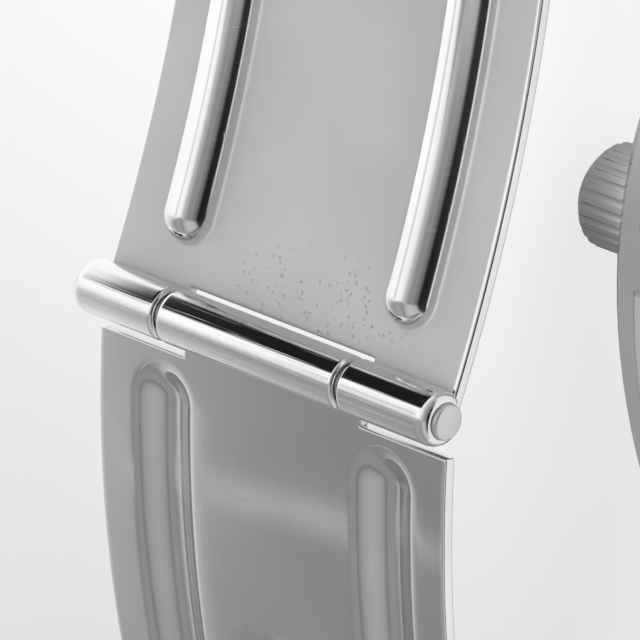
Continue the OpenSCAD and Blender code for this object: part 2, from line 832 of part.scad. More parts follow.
// One link along +X from its tongue's pin at 0 to its far pin at one pitch. Its outer face is on +Y.
// The far end is a fork with an inner gap of 2 * fork and a given slot depth, or solid where fork is 0.
module link(w, fork, far_r, slot) {
    half = w / 2;
    far_wall = pitch - slot;
    difference() {
        intersection() {
            union() {
                slab(-tongue_half, tongue_half) {
                    circle(r = link_r);
                    translate([0, -link_r])
                        square([wall_x + eps, link_t]);
                }
                slab(-half, half)
                    translate([wall_x, -link_r])
                        square([far_wall - wall_x, link_t]);
                for (z = [-half, fork_half])
                    slab(z, z + half - fork_half)
                        lip_outline(0, 1);
                if (fork == fork_half)
                    slab(-fork, fork)
                        lip_outline(pitch, -1);
                for (z = fork > 0 ? [-half, fork] : [-half])
                    slab(z, fork > 0 ? z + half - fork : half) {
                        translate([far_wall - eps, -link_r])
                            square([slot + eps, link_t]);
                        translate([pitch, 0])
                            circle(r = link_r);
                    }
            }
            edge_trim(half, link_r, -link_t, pitch + link_t);
        }
        bar_z([0, 0], pin_r + run_gap, -tongue_half - 1, tongue_half + 1);
        bar_z([pitch, 0], far_r, -half - 1, half + 1);
    }
}

// A link of the 12 o'clock side, number i from the case
module link_12(i, fork, far_r, slot) {
    p = row_point(pivot_12, rest_first, bend_12, i);
    color("silver")
    translate([p[0], p[1], 0])
        rotate([0, 0, rest_first + i * bend_12])
            mirror([0, 1, 0])
                link(link_w(i, links_12), fork, far_r, slot);
}

// A link of the 6 o'clock side, number i from the case
module link_6(i, fork, far_r, slot) {
    p = row_point(pivot_6, first_6, bend_6, i);
    color("silver")
    translate([p[0], p[1], 0])
        rotate([0, 0, first_6 + i * bend_6])
            link(link_w(i, links_6), fork, far_r, slot);
}

// A pin through link number i's far end
module link_pin(p, w) {
    half = w / 2 - pin_inset;
    color("darkgray")
    bar_z(p, pin_r, -half, half);
}

module pin_12(i) {
    link_pin(row_point(pivot_12, rest_first, bend_12, i + 1), link_w(i, links_12));
}

module pin_6(i) {
    link_pin(row_point(pivot_6, first_6, bend_6, i + 1), link_w(i, links_6));
}

// A spring bar: a round body with two thinner tips
module spring_bar(p, r, half, tip_half) {
    color("darkgray") {
        bar_z(p, r, -half, half);
        bar_z(p, bar_tip_r, -tip_half, tip_half);
    }
}

// An end link between the lugs, with a fork for the first link's tongue
module end_link() {
    half = lug_gap / 2 - end_gap;
    far_wall = end_pivot_x - wall_x;
    y0 = end_pin_y - link_r;
    y1 = end_pin_y + link_r;
    difference() {
        union() {
            slab(-half, half)
                polygon([[bore_r, y1], [far_wall, y1], [far_wall, y0], [lug_x - lug_tip_r, y0 - end_rise],
                    [bore_r, y0 - end_rise]]);
            for (z = [-half, fork_half])
                slab(z, z + half - fork_half) {
                    translate([far_wall - eps, y0])
                        square([wall_x + eps, link_t]);
                    translate([end_pivot_x, end_pin_y])
                        circle(r = link_r);
                }
        }
        rotate([-90, 0, 0])
            translate([0, 0, y_body_front - 1])
                cylinder(r = case_r + end_gap, h = body_h + 2);
        bar_z([lug_x, -lug_drop], bar_r + press_gap, -half - 1, half + 1);
        bar_z([end_pivot_x, end_pin_y], pin_r + press_gap, -half - 1, half + 1);
    }
}

module end_pin(side) {
    half = lug_gap / 2 - end_gap - pin_inset;
    color("darkgray")
    bar_z([side * end_pivot_x, end_pin_y], pin_r, -half, half);
}

module lug_bar(side) {
    half = lug_gap / 2 - end_gap;
    spring_bar([side * lug_x, -lug_drop], bar_r, half, lug_gap / 2 + lug_hole_l - seat_gap);
}

// Rolled outer knuckles about a point, drilled for the hinge pin
module outer_knuckles(p, r) {
    inner = knuckle_l / 2 + knuckle_gap;
    for (z = [-blade_w / 2, inner])
        bar_z(p, r, z, z + blade_w / 2 - inner);
}

// The ribs of the ribbed blade, as round bars sunk into the sheet
module rib_bars() {
    r = cap_r(rib_w, rib_h);
    inset = arc_deg(rib_end + rib_w / 2, blade_1_r);
    for (z = [-rib_z, rib_z])
        arc_bar(centre_1, blade_1_r + r - rib_h, r, angle_1b + inset, angle_1a - inset, z);
}

// The ribbed blade's sheet, notched beside its knuckles
module blade_1_sheet(mid, half) {
    edge = half - mid - knuckle_gap;
    clear = arc_deg(clear_1, blade_1_r);
    r0 = blade_1_r + lap;
    r1 = blade_1_r + sheet_t - lap;
    band(centre_1, blade_1_r, blade_1_r + sheet_t, angle_1b + clear, angle_1a - clear, -half, half);
    for (z = [-half, mid + knuckle_gap])
        band(centre_1, r0, r1, angle_1b, angle_1b + clear + 1, z + lap, z + edge - lap);
    band(centre_1, r0, r1, angle_1a - clear - 1, angle_1a, -mid + lap, mid - lap);
}

// The part of the ribs that stands out of the ribbed blade's front
module blade_1_ribs(half) {
    inset = arc_deg(clear_1, blade_1_r) + 0.5;
    intersection() {
        rib_bars();
        band(centre_1, blade_1_r - 2 * rib_h, blade_1_r + sheet_t / 2, angle_1b + inset, angle_1a - inset,
            -half + 0.5, half - 0.5);
    }
}

// The ribbed blade's rolled knuckles
module blade_1_knuckles(mid) {
    outer_knuckles(hinge_b, knuckle_r);
    bar_z(hinge_a, knuckle_r, -mid, mid);
}

module blade_1() {
    half = blade_w / 2;
    mid = knuckle_l / 2;
    color("gainsboro")
    difference() {
        union() {
            blade_1_sheet(mid, half);
            blade_1_ribs(half);
            blade_1_knuckles(mid);
        }
        bar_z(hinge_b, hinge_pin_r + press_gap, -half - 1, half + 1);
        bar_z(hinge_a, hinge_pin_r + run_gap, -half - 1, half + 1);
    }
}

// The grooves of the grooved blade, as round bars sunk into the sheet
module groove_bars(grow) {
    r = cap_r(groove_w, groove_h);
    inset = arc_deg(groove_end + groove_w / 2, blade_2_r);
    tail = arc_deg(groove_end + groove_w / 2 + eye_reach, blade_2_r);
    for (z = [-rib_z, rib_z])
        arc_bar(centre_2, blade_2_r - groove_h + r, r + grow, angle_2b + inset, angle_2c - tail, z);
}

// The grooved blade's sheet, with its narrower ends
module blade_2_sheet(mid, half, eye_half) {
    clear = arc_deg(clear_2, blade_2_r);
    shoulder = arc_deg(eye_reach, blade_2_r);
    r0 = blade_2_r - sheet_t + lap;
    r1 = blade_2_r - lap;
    band(centre_2, blade_2_r - sheet_t, blade_2_r, angle_2b + clear, angle_2c - shoulder, -half, half);
    band(centre_2, r0, r1, angle_2b, angle_2b + clear + 1, -mid + lap, mid - lap);
    band(centre_2, r0, r1, angle_2c - shoulder - 1, angle_2c, -eye_half + lap, eye_half - lap);
}

// The bulges behind the grooves
module blade_2_bulges(half) {
    intersection() {
        groove_bars(sheet_t);
        band(centre_2, blade_2_r - 3 * groove_h, blade_2_r - sheet_t / 2, angle_2b, angle_2c, -half + 0.5,
            half - 0.5);
    }
}

// The cutter for the plain dimple
module dimple_disc() {
    translate([centre_2[0], centre_2[1], 0])
        rotate([0, 0, angle_2b + arc_deg(dimple_s, blade_2_r)])
            translate([blade_2_r - dimple_h, 0, 0])
                rotate([0, 90, 0])
                    cylinder(r = dimple_r, h = 2);
}

module blade_2() {
    half = blade_w / 2;
    mid = knuckle_l / 2;
    eye_half = eye_w / 2;
    color("lightgray")
    difference() {
        union() {
            blade_2_sheet(mid, half, eye_half);
            blade_2_bulges(half);
            bar_z(hinge_b, knuckle_r, -mid, mid);
            bar_z(eye, eye_r, -eye_half, eye_half);
        }
        groove_bars(0);
        bar_z(hinge_b, hinge_pin_r + run_gap, -half - 1, half + 1);
        bar_z(eye, eye_bar_r + press_gap, -half - 1, half + 1);
        dimple_disc();
    }
}

// A hinge pin with its two ends standing out of the knuckles
module hinge_pin(p) {
    color("gainsboro")
    bar_z(p, hinge_pin_r, -blade_w / 2 - pin_tail_l, blade_w / 2 + pin_head_l);
}

// Puts what is drawn in the shut position where the opened cover lies
module open_cover() {
    translate([hinge_a[0], hinge_a[1], 0])
        rotate([0, 0, cover_turn])
            translate([-hinge_a[0], -hinge_a[1], 0])
                children();
}

module clasp_cover() {
    half = cover_gap / 2;
    mid = knuckle_l / 2 + knuckle_gap;
    end_a = angle_1a - arc_deg(cover_l, blade_1_r);
    start_a = angle_1a - arc_deg(clear_1 + end_gap, blade_1_r);
    lead_a = angle_1a + arc_deg(cover_lead, blade_1_r);
    tail_a = arc_deg(lap, blade_1_r);
    color("silver")
    open_cover()
        difference() {
            union() {
                band(centre_1, cover_in_r, cover_out_r, end_a, start_a, -half - lap, half + lap);
                for (z = [-half - flange_t, half])
                    band(centre_1, blade_1_r - flange_d, cover_out_r - lap, end_a - tail_a, lead_a, z,
                        z + flange_t);
                for (z = [-blade_w / 2, mid])
                    band(centre_1, cover_in_r + lap, cover_out_r - lap, start_a - 1, angle_1a, z + lap,
                        z + blade_w / 2 - mid - lap);
                outer_knuckles(hinge_a, knuckle_r);
            }
            bar_z(hinge_a, hinge_pin_r + press_gap, -half + end_gap, half - end_gap);
            for (i = [0 : holes - 1])
                bar_z(centre_1 + hole_r * dir(angle_1a - arc_deg(hole_s + i * hole_pitch, blade_1_r)),
                    bar_tip_r + run_gap, -cover_half - 1, cover_half + 1);
        }
}

// A small hook under the cover's plate that holds the shut hinge between the blades
module cover_catch() {
    half = catch_w / 2;
    top_r = cover_in_r - press_gap;
    low_r = blade_1_r - front_back - catch_d;
    a0 = angle_1b - arc_deg(knuckle_r + catch_gap, blade_1_r - front_back);
    a1 = a0 - arc_deg(catch_t, blade_1_r);
    a2 = a0 - arc_deg(catch_l, blade_1_r);
    color("gray")
    open_cover()
        union() {
            band(centre_1, low_r, top_r, a1, a0, -half, half);
            band(centre_1, top_r - catch_t, top_r, a2, a0, -half, half);
        }
}

module cover_bar() {
    half = width_clasp / 2;
    spring_bar(bar, bar_r, half, cover_half - seat_gap);
}

module eye_bar() {
    half = eye_w / 2;
    color("darkgray")
    bar_z(eye, eye_bar_r, -half, half);
}

case_middle();
bezel();
crystal();
crystal_gasket();
rehaut();
dial();
hour_markers();
movement_holder();
main_plate();
train_bridge();
rotor_screw();
case_back();
back_gasket();
crown_tube();
color("silver") end_link();  // end_link_12
color("silver") mirror([1, 0, 0]) end_link();  // end_link_6
lug_bar(1);  // lug_bar_12
lug_bar(-1);  // lug_bar_6
end_pin(1);  // end_pin_12
end_pin(-1);  // end_pin_6
hour_hand();
minute_hand();
second_hand();
rotor();
stem_collar();
crown();
crown_gasket();
winding_stem();
link_12(0, fork_half, pin_r + press_gap, wall_x);  // link_12_1
link_12(1, fork_half, pin_r + press_gap, wall_x);  // link_12_2
link_12(2, fork_half, pin_r + press_gap, wall_x);  // link_12_3
link_12(3, fork_half, pin_r + press_gap, wall_x);  // link_12_4
link_12(4, fork_half, pin_r + press_gap, wall_x);  // link_12_5
link_12(5, 0, bar_r + press_gap, wall_x);  // link_12_6
pin_12(0);  // pin_12_1
pin_12(1);  // pin_12_2
pin_12(2);  // pin_12_3
pin_12(3);  // pin_12_4
pin_12(4);  // pin_12_5
cover_bar();
link_6(0, fork_half, pin_r + press_gap, wall_x);  // link_6_1
link_6(1, fork_half, pin_r + press_gap, wall_x);  // link_6_2
link_6(2, fork_half, pin_r + press_gap, wall_x);  // link_6_3
link_6(3, fork_half, pin_r + press_gap, wall_x);  // link_6_4
link_6(4, eye_w / 2 + side_gap, bar_tip_r + run_gap, eye_slot);  // link_6_5
pin_6(0);  // pin_6_1
pin_6(1);  // pin_6_2
pin_6(2);  // pin_6_3
pin_6(3);  // pin_6_4
clasp_cover();
cover_catch();
hinge_pin(hinge_a);  // hinge_pin_a
blade_1();
hinge_pin(hinge_b);  // hinge_pin_b
blade_2();
eye_bar();
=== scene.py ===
"""A bracelet wristwatch lying on its side with its folding clasp opened, dressed for a studio picture."""
import logging
import math
from dataclasses import dataclass, field
from enum import Enum
from functools import cache, cached_property

import bmesh
import bpy
from mathutils import Matrix, Vector


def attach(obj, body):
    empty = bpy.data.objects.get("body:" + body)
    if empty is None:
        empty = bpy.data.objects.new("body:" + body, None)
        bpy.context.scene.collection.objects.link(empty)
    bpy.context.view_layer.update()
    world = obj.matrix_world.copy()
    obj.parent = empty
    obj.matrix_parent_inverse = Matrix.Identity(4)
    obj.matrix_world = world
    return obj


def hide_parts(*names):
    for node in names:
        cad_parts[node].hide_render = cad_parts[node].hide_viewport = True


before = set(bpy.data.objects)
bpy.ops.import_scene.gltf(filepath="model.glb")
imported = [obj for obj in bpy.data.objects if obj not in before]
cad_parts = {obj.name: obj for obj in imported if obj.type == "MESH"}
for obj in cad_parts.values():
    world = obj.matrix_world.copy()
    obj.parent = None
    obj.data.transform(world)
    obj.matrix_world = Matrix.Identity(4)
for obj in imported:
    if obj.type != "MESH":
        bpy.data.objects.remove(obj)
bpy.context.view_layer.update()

LOG = logging.getLogger("wristwatch")
MM = 0.001  # a millimetre, in metres
BUMP = 0.00001  # height that a bump of 1 stands for, in metres
SHARP = 38.0  # angle from which an edge is shaded crisp, in degrees
NEAR = 0.012  # places closer than this count as one, in millimetres

Spot = tuple[float, float]
Place = tuple[float, float, float]
Colour = tuple[float, float, float]
Socket = bpy.types.NodeSocket
Solid = bmesh.types.BMesh


# Small tools -------------------------------------------------------------------------------------


def heading(degrees: float) -> Vector:
    """Unit vector in the side view at an angle from the 12 o'clock direction."""
    angle = math.radians(degrees)
    return Vector((math.cos(angle), math.sin(angle)))


def eased(value: float) -> float:
    """Smooth step of a value that is first held between 0 and 1."""
    value = min(max(value, 0.0), 1.0)
    return value * value * (3.0 - 2.0 * value)


def stops(start: float, end: float, step: float) -> list[float]:
    """Evenly spaced places from start to end, both included.

    Args:
        start: First place.
        end: Last place.
        step: Largest spacing allowed.

    Returns:
        The places in rising order.
    """
    count = max(1, math.ceil((end - start) / step - 1e-6))
    return [start + (end - start) * i / count for i in range(count + 1)]


def joined_stops(*runs: list[float]) -> list[float]:
    """One rising list of places from several runs, with near doubles left out."""
    places: list[float] = []
    for place in sorted(p for run in runs for p in run):
        if not places or place - places[-1] > NEAR:
            places.append(place)
    return places


class NodeDesk:
    """Adds shader nodes to one tree and joins their sockets."""

    def __init__(self, tree: bpy.types.NodeTree) -> None:
        """Keeps the tree and empties it."""
        self.tree = tree
        tree.nodes.clear()

    def add(self, kind: str, settings: dict | None = None, **sockets) -> bpy.types.Node:
        """Adds a node.

        Args:
            kind: Name of the node's type.
            settings: Values for the node's own properties.
            sockets: Input values or sockets to join, by name with _ for a space, or by n and a number.

        Returns:
            The new node.
        """
        node = self.tree.nodes.new(kind)
        for name, value in (settings or {}).items():
            setattr(node, name, value)
        for name, value in sockets.items():
            number = name[1:]
            key = int(number) if name[0] == "n" and number.isdigit() else name.replace("_", " ")
            if isinstance(value, Socket):
                self.tree.links.new(value, node.inputs[key])
            else:
                node.inputs[key].default_value = value
        return node

    def maths(self, operation: str, *values) -> Socket:
        """A Math node on numbers or sockets, as its result."""
        named = {f"n{i}": value for i, value in enumerate(values)}
        return self.add("ShaderNodeMath", {"operation": operation}, **named).outputs[0]

    def ramp(self, value: Socket, marks: list[Spot], ease: str = "EASE") -> Socket:
        """A grey colour ramp.

        Args:
            value: Socket that drives the ramp.
            marks: Pairs of place and grey level, in rising order.
            ease: Way of blending between the marks.

        Returns:
            The ramp's colour output.
        """
        node = self.add("ShaderNodeValToRGB", Fac=value)
        node.color_ramp.interpolation = ease
        band = node.color_ramp.elements
        while len(band) < len(marks):
            band.new(0.5)
        for element, (place, level) in zip(band, marks):
            element.position = place
            element.color = (level, level, level, 1.0)
        return node.outputs["Color"]

    def mapped(self, source: Socket, scale: Place, turn: Place = (0, 0, 0), shift: Place = (0, 0, 0)
               ) -> Socket:
        """Coordinates that are scaled, turned and shifted by a Mapping node."""
        return self.add("ShaderNodeMapping", Vector=source, Location=shift, Rotation=turn,
                        Scale=scale).outputs[0]

    def noise(self, place: Socket, scale: float, **more: float) -> Socket:
        """The grey output of a Noise Texture node."""
        return self.add("ShaderNodeTexNoise", Vector=place, Scale=scale, **more).outputs[0]

    def length(self, vector: Socket) -> Socket:
        """Length of a vector."""
        return self.add("ShaderNodeVectorMath", {"operation": "LENGTH"}, n0=vector).outputs[1]

    def shaded(self, colour: Socket, share: Socket) -> Socket:
        """A colour times a number."""
        return self.add("ShaderNodeVectorMath", {"operation": "SCALE"}, n0=colour, Scale=share).outputs[0]

    def blend(self, share: Socket, *sides) -> Socket:
        """A colour between two, each a plain colour or a socket."""
        ends = {f"n{6 + i}": (*side, 1.0) if isinstance(side, tuple) else side for i, side in enumerate(sides)}
        return self.add("ShaderNodeMix", {"data_type": "RGBA"}, n0=share, **ends).outputs[2]

    def group(self, tree: bpy.types.NodeTree, place: Socket, amount: float) -> bpy.types.Node:
        """A node that runs one of the shared groups."""
        return self.add("ShaderNodeGroup", {"node_tree": tree}, Vector=place, Amount=amount)

    def mirror_rays(self) -> Socket:
        """1 for rays that leave polished metal or glass, 0 for the others."""
        path = self.add("ShaderNodeLightPath")
        both = self.maths("ADD", path.outputs["Is Glossy Ray"], path.outputs["Is Transmission Ray"])
        return self.maths("MINIMUM", both, 1.0)

    def surface(self, shader: bpy.types.Node, kind: str = "ShaderNodeOutputMaterial") -> None:
        """Joins a shader to the output."""
        self.add(kind, Surface=shader.outputs[0])


# Finishes ----------------------------------------------------------------------------------------


def new_material(name: str) -> tuple[bpy.types.Material, NodeDesk, Socket]:
    """Starts a material.

    Args:
        name: Name of the material.

    Returns:
        The material, the desk for its nodes and its Object coordinates.
    """
    material = bpy.data.materials.new(name)
    material.use_nodes = True
    desk = NodeDesk(material.node_tree)
    return material, desk, desk.add("ShaderNodeTexCoord").outputs["Object"]


def new_group(name: str, inputs: dict[str, float], outputs: list[str]) -> tuple[NodeDesk, bpy.types.Node]:
    """Starts a node group that reads a Vector and some numbers.

    Args:
        name: Name of the group.
        inputs: Number inputs with their default values.
        outputs: Names of the number outputs.

    Returns:
        The desk for the group and its input node.
    """
    tree = bpy.data.node_groups.new(name, "ShaderNodeTree")
    tree.interface.new_socket(name="Vector", in_out="INPUT", socket_type="NodeSocketVector")
    for key, value in inputs.items():
        socket = tree.interface.new_socket(name=key, in_out="INPUT", socket_type="NodeSocketFloat")
        socket.default_value = value
    for key in outputs:
        tree.interface.new_socket(name=key, in_out="OUTPUT", socket_type="NodeSocketFloat")
    desk = NodeDesk(tree)
    return desk, desk.add("NodeGroupInput")


class WearGroups:
    """Node groups for effects that several finishes share. Each is built once."""

    @staticmethod
    @cache
    def scratches() -> bpy.types.NodeTree:
        """Hair-fine scratches in two directions, with faint clouding.

        Returns:
            A group with a Height and a Dull output.
        """
        desk, source = new_group("hairline_scratches", {"Amount": 1.0}, ["Height", "Dull"])
        place = source.outputs["Vector"]
        lines = []
        for turn, scale in (((0.3, 0.9, 0.5), (260, 9000, 300)), ((1.1, 0.2, 2.2), (7600, 300, 240))):
            streaks = desk.noise(desk.mapped(place, scale, turn), 1.0, Detail=3.0, Roughness=0.6)
            lines.append(desk.ramp(streaks, [(0.6, 0.0), (0.68, 1.0)], "LINEAR"))
        cloud = desk.noise(place, 420.0, Detail=4.0)
        share = desk.ramp(cloud, [(0.4, 0.15), (0.62, 1.0)])
        both = desk.maths("MULTIPLY", desk.maths("MAXIMUM", *lines), share)
        seen = desk.maths("MULTIPLY", both, source.outputs["Amount"])
        desk.add("NodeGroupOutput", Height=desk.maths("MULTIPLY", seen, -1.0),
                 Dull=desk.maths("ADD", seen, desk.maths("MULTIPLY", cloud, 0.25)))
        return desk.tree

    @staticmethod
    @cache
    def pits() -> bpy.types.NodeTree:
        """Small pits that gather in loose patches.

        Returns:
            A group with a Height output.
        """
        desk, source = new_group("scattered_pits", {"Amount": 1.0}, ["Height"])
        place = source.outputs["Vector"]
        sway = desk.add("ShaderNodeTexNoise", Vector=place, Scale=6000.0)
        moved = desk.add("ShaderNodeMix", {"data_type": "VECTOR"}, n0=0.00012, n4=place, n5=sway.outputs[1])
        cells = desk.add("ShaderNodeTexVoronoi", Vector=moved.outputs[1], Scale=4200.0, Randomness=1.0)
        dots = desk.ramp(cells.outputs[0], [(0.1, 1.0), (0.3, 0.0)], "LINEAR")
        share = desk.ramp(desk.noise(place, 1300.0, Detail=2.0), [(0.42, 0.0), (0.5, 1.0)])
        height = desk.maths("MULTIPLY", desk.maths("MULTIPLY", dots, share), source.outputs["Amount"])
        desk.add("NodeGroupOutput", Height=desk.maths("MULTIPLY", height, -1.0))
        return desk.tree

    @staticmethod
    @cache
    def grain() -> bpy.types.NodeTree:
        """Brushing lines that run along X and Y and change from line to line along Z.

        Returns:
            A group with a Height and a Dull output.
        """
        desk, source = new_group("brushed_grain", {"Amount": 1.0}, ["Height", "Dull"])
        lines = desk.noise(desk.mapped(source.outputs["Vector"], (260.0, 260.0, 9000.0)), 1.0, Detail=4.0,
                           Roughness=0.7)
        desk.add("NodeGroupOutput", Height=desk.maths("MULTIPLY", lines, source.outputs["Amount"]),
                 Dull=lines)
        return desk.tree


@dataclass(frozen=True)
class SteelFinish:
    """Steel, from mirror bright to brushed.

    Args:
        name: Name of the material.
        colour: Colour of the metal.
        rough: Roughness of the clean metal.
        dulling: How much scratches and clouds add to the roughness.
        scratch: Depth of the hairline scratches.
        grain: Depth of the brushing lines, 0 for none.
        bend: Middle of the sheet's bend in millimetres and radius of its front, negative where the front
            faces the middle; places in front of it are rubbed bright. None where the colour is even. The
            fields below count only where there is a bend.
        flat: Brightness of the places that aren't rubbed; a value below 1 darkens them with painted shade, as
            on the grooved blade.
        flat_rough: Roughness that those places have more.
        flat_matt: Share of matt scatter in those places.
        rub_edge: Where the rubbed edges start, as a distance from the middle of the blade in millimetres.
        lines: Depth of the long fine lines that run along Z round the hinge.
        hinge: Axis of the hinge in the side view, in millimetres.
        hinge_reach: Distance from the axis that the lines reach, in millimetres.
        pits: Depth of the pits, 0 for none; the pits also get painted glints and painted shade in their colour.
        patch: Middle of the pitted patch in millimetres.
        patch_size: Half sizes of the pitted patch in millimetres.
    """

    name: str
    colour: Colour = (0.76, 0.76, 0.765)
    rough: float = 0.1
    dulling: float = 0.12
    scratch: float = 0.3
    grain: float = 0.0
    bend: Place | None = None
    flat: float = 0.75
    flat_rough: float = 0.0
    flat_matt: float = 0.0
    rub_edge: float = 7.3
    lines: float = 0.5
    hinge: Spot = (7.3, 33.2)
    hinge_reach: float = 0.98
    pits: float = 0.0
    patch: Place = (9.1, 32.2, 1.3)
    patch_size: Place = (1.9, 1.9, 4.4)

    def rubbed_and_unshaded_places(self, desk: NodeDesk, place: Socket) -> Socket:
        """Finds the places that wear keeps bright and that the painted shade on the flats leaves out: all that
        stands in front of the bend, and the edges.

        Args:
            desk: Desk of the material.
            place: Object coordinates.

        Returns:
            1 on those places, 0 on the flat of the sheet.
        """
        x, y, radius = self.bend
        reach = desk.length(desk.mapped(place, (1.0, 1.0, 0.0), shift=(-x * MM, -y * MM, 0.0)))
        front = desk.maths("MULTIPLY", desk.maths("SUBTRACT", reach, abs(radius) * MM),
                           math.copysign(1.0 / MM, radius))
        side = desk.maths("ABSOLUTE", desk.add("ShaderNodeSeparateXYZ", Vector=place).outputs[2])
        start = self.rub_edge / 10
        edge = desk.ramp(desk.maths("MULTIPLY", side, 0.1 / MM), [(start, 0.0), (start + 0.007, 1.0)])
        return desk.maths("MAXIMUM", desk.ramp(front, [(0.02, 0.0), (0.12, 1.0)]), edge)

    def pit_height(self, desk: NodeDesk, place: Socket, rubbed: Socket) -> Socket:
        """Height of the pits, which gather in the patch and fade on rubbed places.

        Args:
            desk: Desk of the material.
            place: Object coordinates.
            rubbed: 1 on rubbed places.

        Returns:
            A height from 0 down to minus the pits' depth.
        """
        pits = desk.group(WearGroups.pits(), place, self.pits).outputs["Height"]
        local = desk.mapped(place, tuple(1.0 / (size * MM) for size in self.patch_size),
                            shift=tuple(-c / size for c, size in zip(self.patch, self.patch_size)))
        near = desk.add("ShaderNodeTexGradient", {"gradient_type": "SPHERICAL"}, Vector=local)
        gathered = desk.maths("MULTIPLY", pits, desk.ramp(near.outputs[1], [(0.0, 0.0), (0.5, 1.0)]))
        return desk.maths("MULTIPLY", gathered, desk.maths("MULTIPLY_ADD", rubbed, -0.92, 1.0))

    def hinge_lines(self, desk: NodeDesk, place: Socket) -> Socket:
        """Depth of the long fine lines that run round the hinge."""
        streaks = desk.noise(desk.mapped(place, (16000.0, 16000.0, 160.0)), 1.0, Detail=2.0)
        lines = desk.ramp(streaks, [(0.56, 0.0), (0.66, self.lines)], "LINEAR")
        away = desk.length(desk.mapped(place, (1 / MM, 1 / MM, 0.0), shift=(*(-c for c in self.hinge), 0.0)))
        return desk.maths("MULTIPLY", lines, desk.maths("LESS_THAN", away, self.hinge_reach))

    def make(self) -> bpy.types.Material:
        """Builds the material.

        Returns:
            The finished material.
        """
        material, desk, place = new_material(self.name)
        scratch = desk.group(WearGroups.scratches(), place, self.scratch)
        height, metal = scratch.outputs["Height"], 1.0
        dull = desk.maths("MULTIPLY_ADD", scratch.outputs["Dull"], self.dulling, self.rough)
        colour = desk.blend(desk.ramp(desk.noise(place, 260.0, Detail=3.0), [(0.3, 0.0), (0.7, 1.0)]),
                            self.colour, tuple(c * 0.94 for c in self.colour))
        if self.grain:
            grain = desk.group(WearGroups.grain(), place, self.grain)
            height = desk.maths("ADD", height, grain.outputs["Height"])
            dull = desk.maths("MULTIPLY_ADD", grain.outputs["Dull"], 0.16, dull)
        if self.bend:
            rubbed = self.rubbed_and_unshaded_places(desk, place)
            if self.pits:
                pits = self.pit_height(desk, place, rubbed)
                height = desk.maths("ADD", height, pits)
                # Painted glints and painted shade in the pits: noise scales their colour between 0.7 and 1.25
                # times.
                pit_glint_shade = desk.ramp(desk.noise(place, 7000.0), [(0.42, 0.7), (0.58, 1.25)], "LINEAR")
                marked = desk.maths("MULTIPLY", pits, -1.0 / self.pits)
                colour = desk.shaded(colour, desk.maths("MULTIPLY_ADD", marked,
                                                        desk.maths("SUBTRACT", pit_glint_shade, 1.0), 1.0))
            height = desk.maths("SUBTRACT", height, self.hinge_lines(desk, place))
            # Painted shade: the colour of places that aren't rubbed is scaled by flat, which darkens the
            # grooved blade's flats to stand in for their dimmer reflections.
            colour = desk.shaded(colour, desk.maths("MULTIPLY_ADD", rubbed, 1.0 - self.flat, self.flat))
            extra = desk.maths("MULTIPLY_ADD", rubbed, -self.flat_rough, self.flat_rough)
            dull = desk.maths("ADD", dull, extra)
            metal = desk.maths("MULTIPLY_ADD", rubbed, self.flat_matt, 1.0 - self.flat_matt)
        bump = desk.add("ShaderNodeBump", Strength=0.35, Distance=BUMP, Height=height)
        desk.surface(desk.add("ShaderNodeBsdfPrincipled", Base_Color=colour, Metallic=metal,
                              Roughness=dull, Normal=bump.outputs[0]))
        return material


@dataclass(frozen=True)
class PlainFinish:
    """A rubber, plastic or painted surface.

    Args:
        name: Name of the material.
        colour: Main colour.
        other: Colour that the main one drifts towards.
        rough: Roughness.
        grain: Depth of the fine surface grain.
        scale: Size of the grain, as cells a metre.
    """

    name: str
    colour: Colour
    other: Colour
    rough: float = 0.5
    grain: float = 0.5
    scale: float = 4000.0

    def make(self) -> bpy.types.Material:
        """Builds the material.

        Returns:
            The finished material.
        """
        material, desk, place = new_material(self.name)
        cloud = desk.noise(place, self.scale / 8, Detail=4.0)
        bump = desk.add("ShaderNodeBump", Strength=self.grain, Distance=BUMP,
                        Height=desk.noise(place, self.scale, Detail=2.0))
        desk.surface(desk.add("ShaderNodeBsdfPrincipled", Base_Color=desk.blend(cloud, self.colour, self.other),
                              Roughness=desk.maths("MULTIPLY_ADD", cloud, 0.15, self.rough - 0.07),
                              Normal=bump.outputs[0]))
        return material


@dataclass(frozen=True)
class GlassFinish:
    """Clear crystal with the faintest wipe marks."""

    name: str = "clear_crystal"

    def make(self) -> bpy.types.Material:
        """Builds the material.

        Returns:
            The finished material.
        """
        material, desk, place = new_material(self.name)
        dull = desk.maths("MULTIPLY", desk.noise(place, 300.0, Detail=3.0), 0.02)
        desk.surface(desk.add("ShaderNodeBsdfPrincipled", Base_Color=(1, 1, 1, 1), Roughness=dull, IOR=1.6,
                              Transmission_Weight=1.0))
        return material


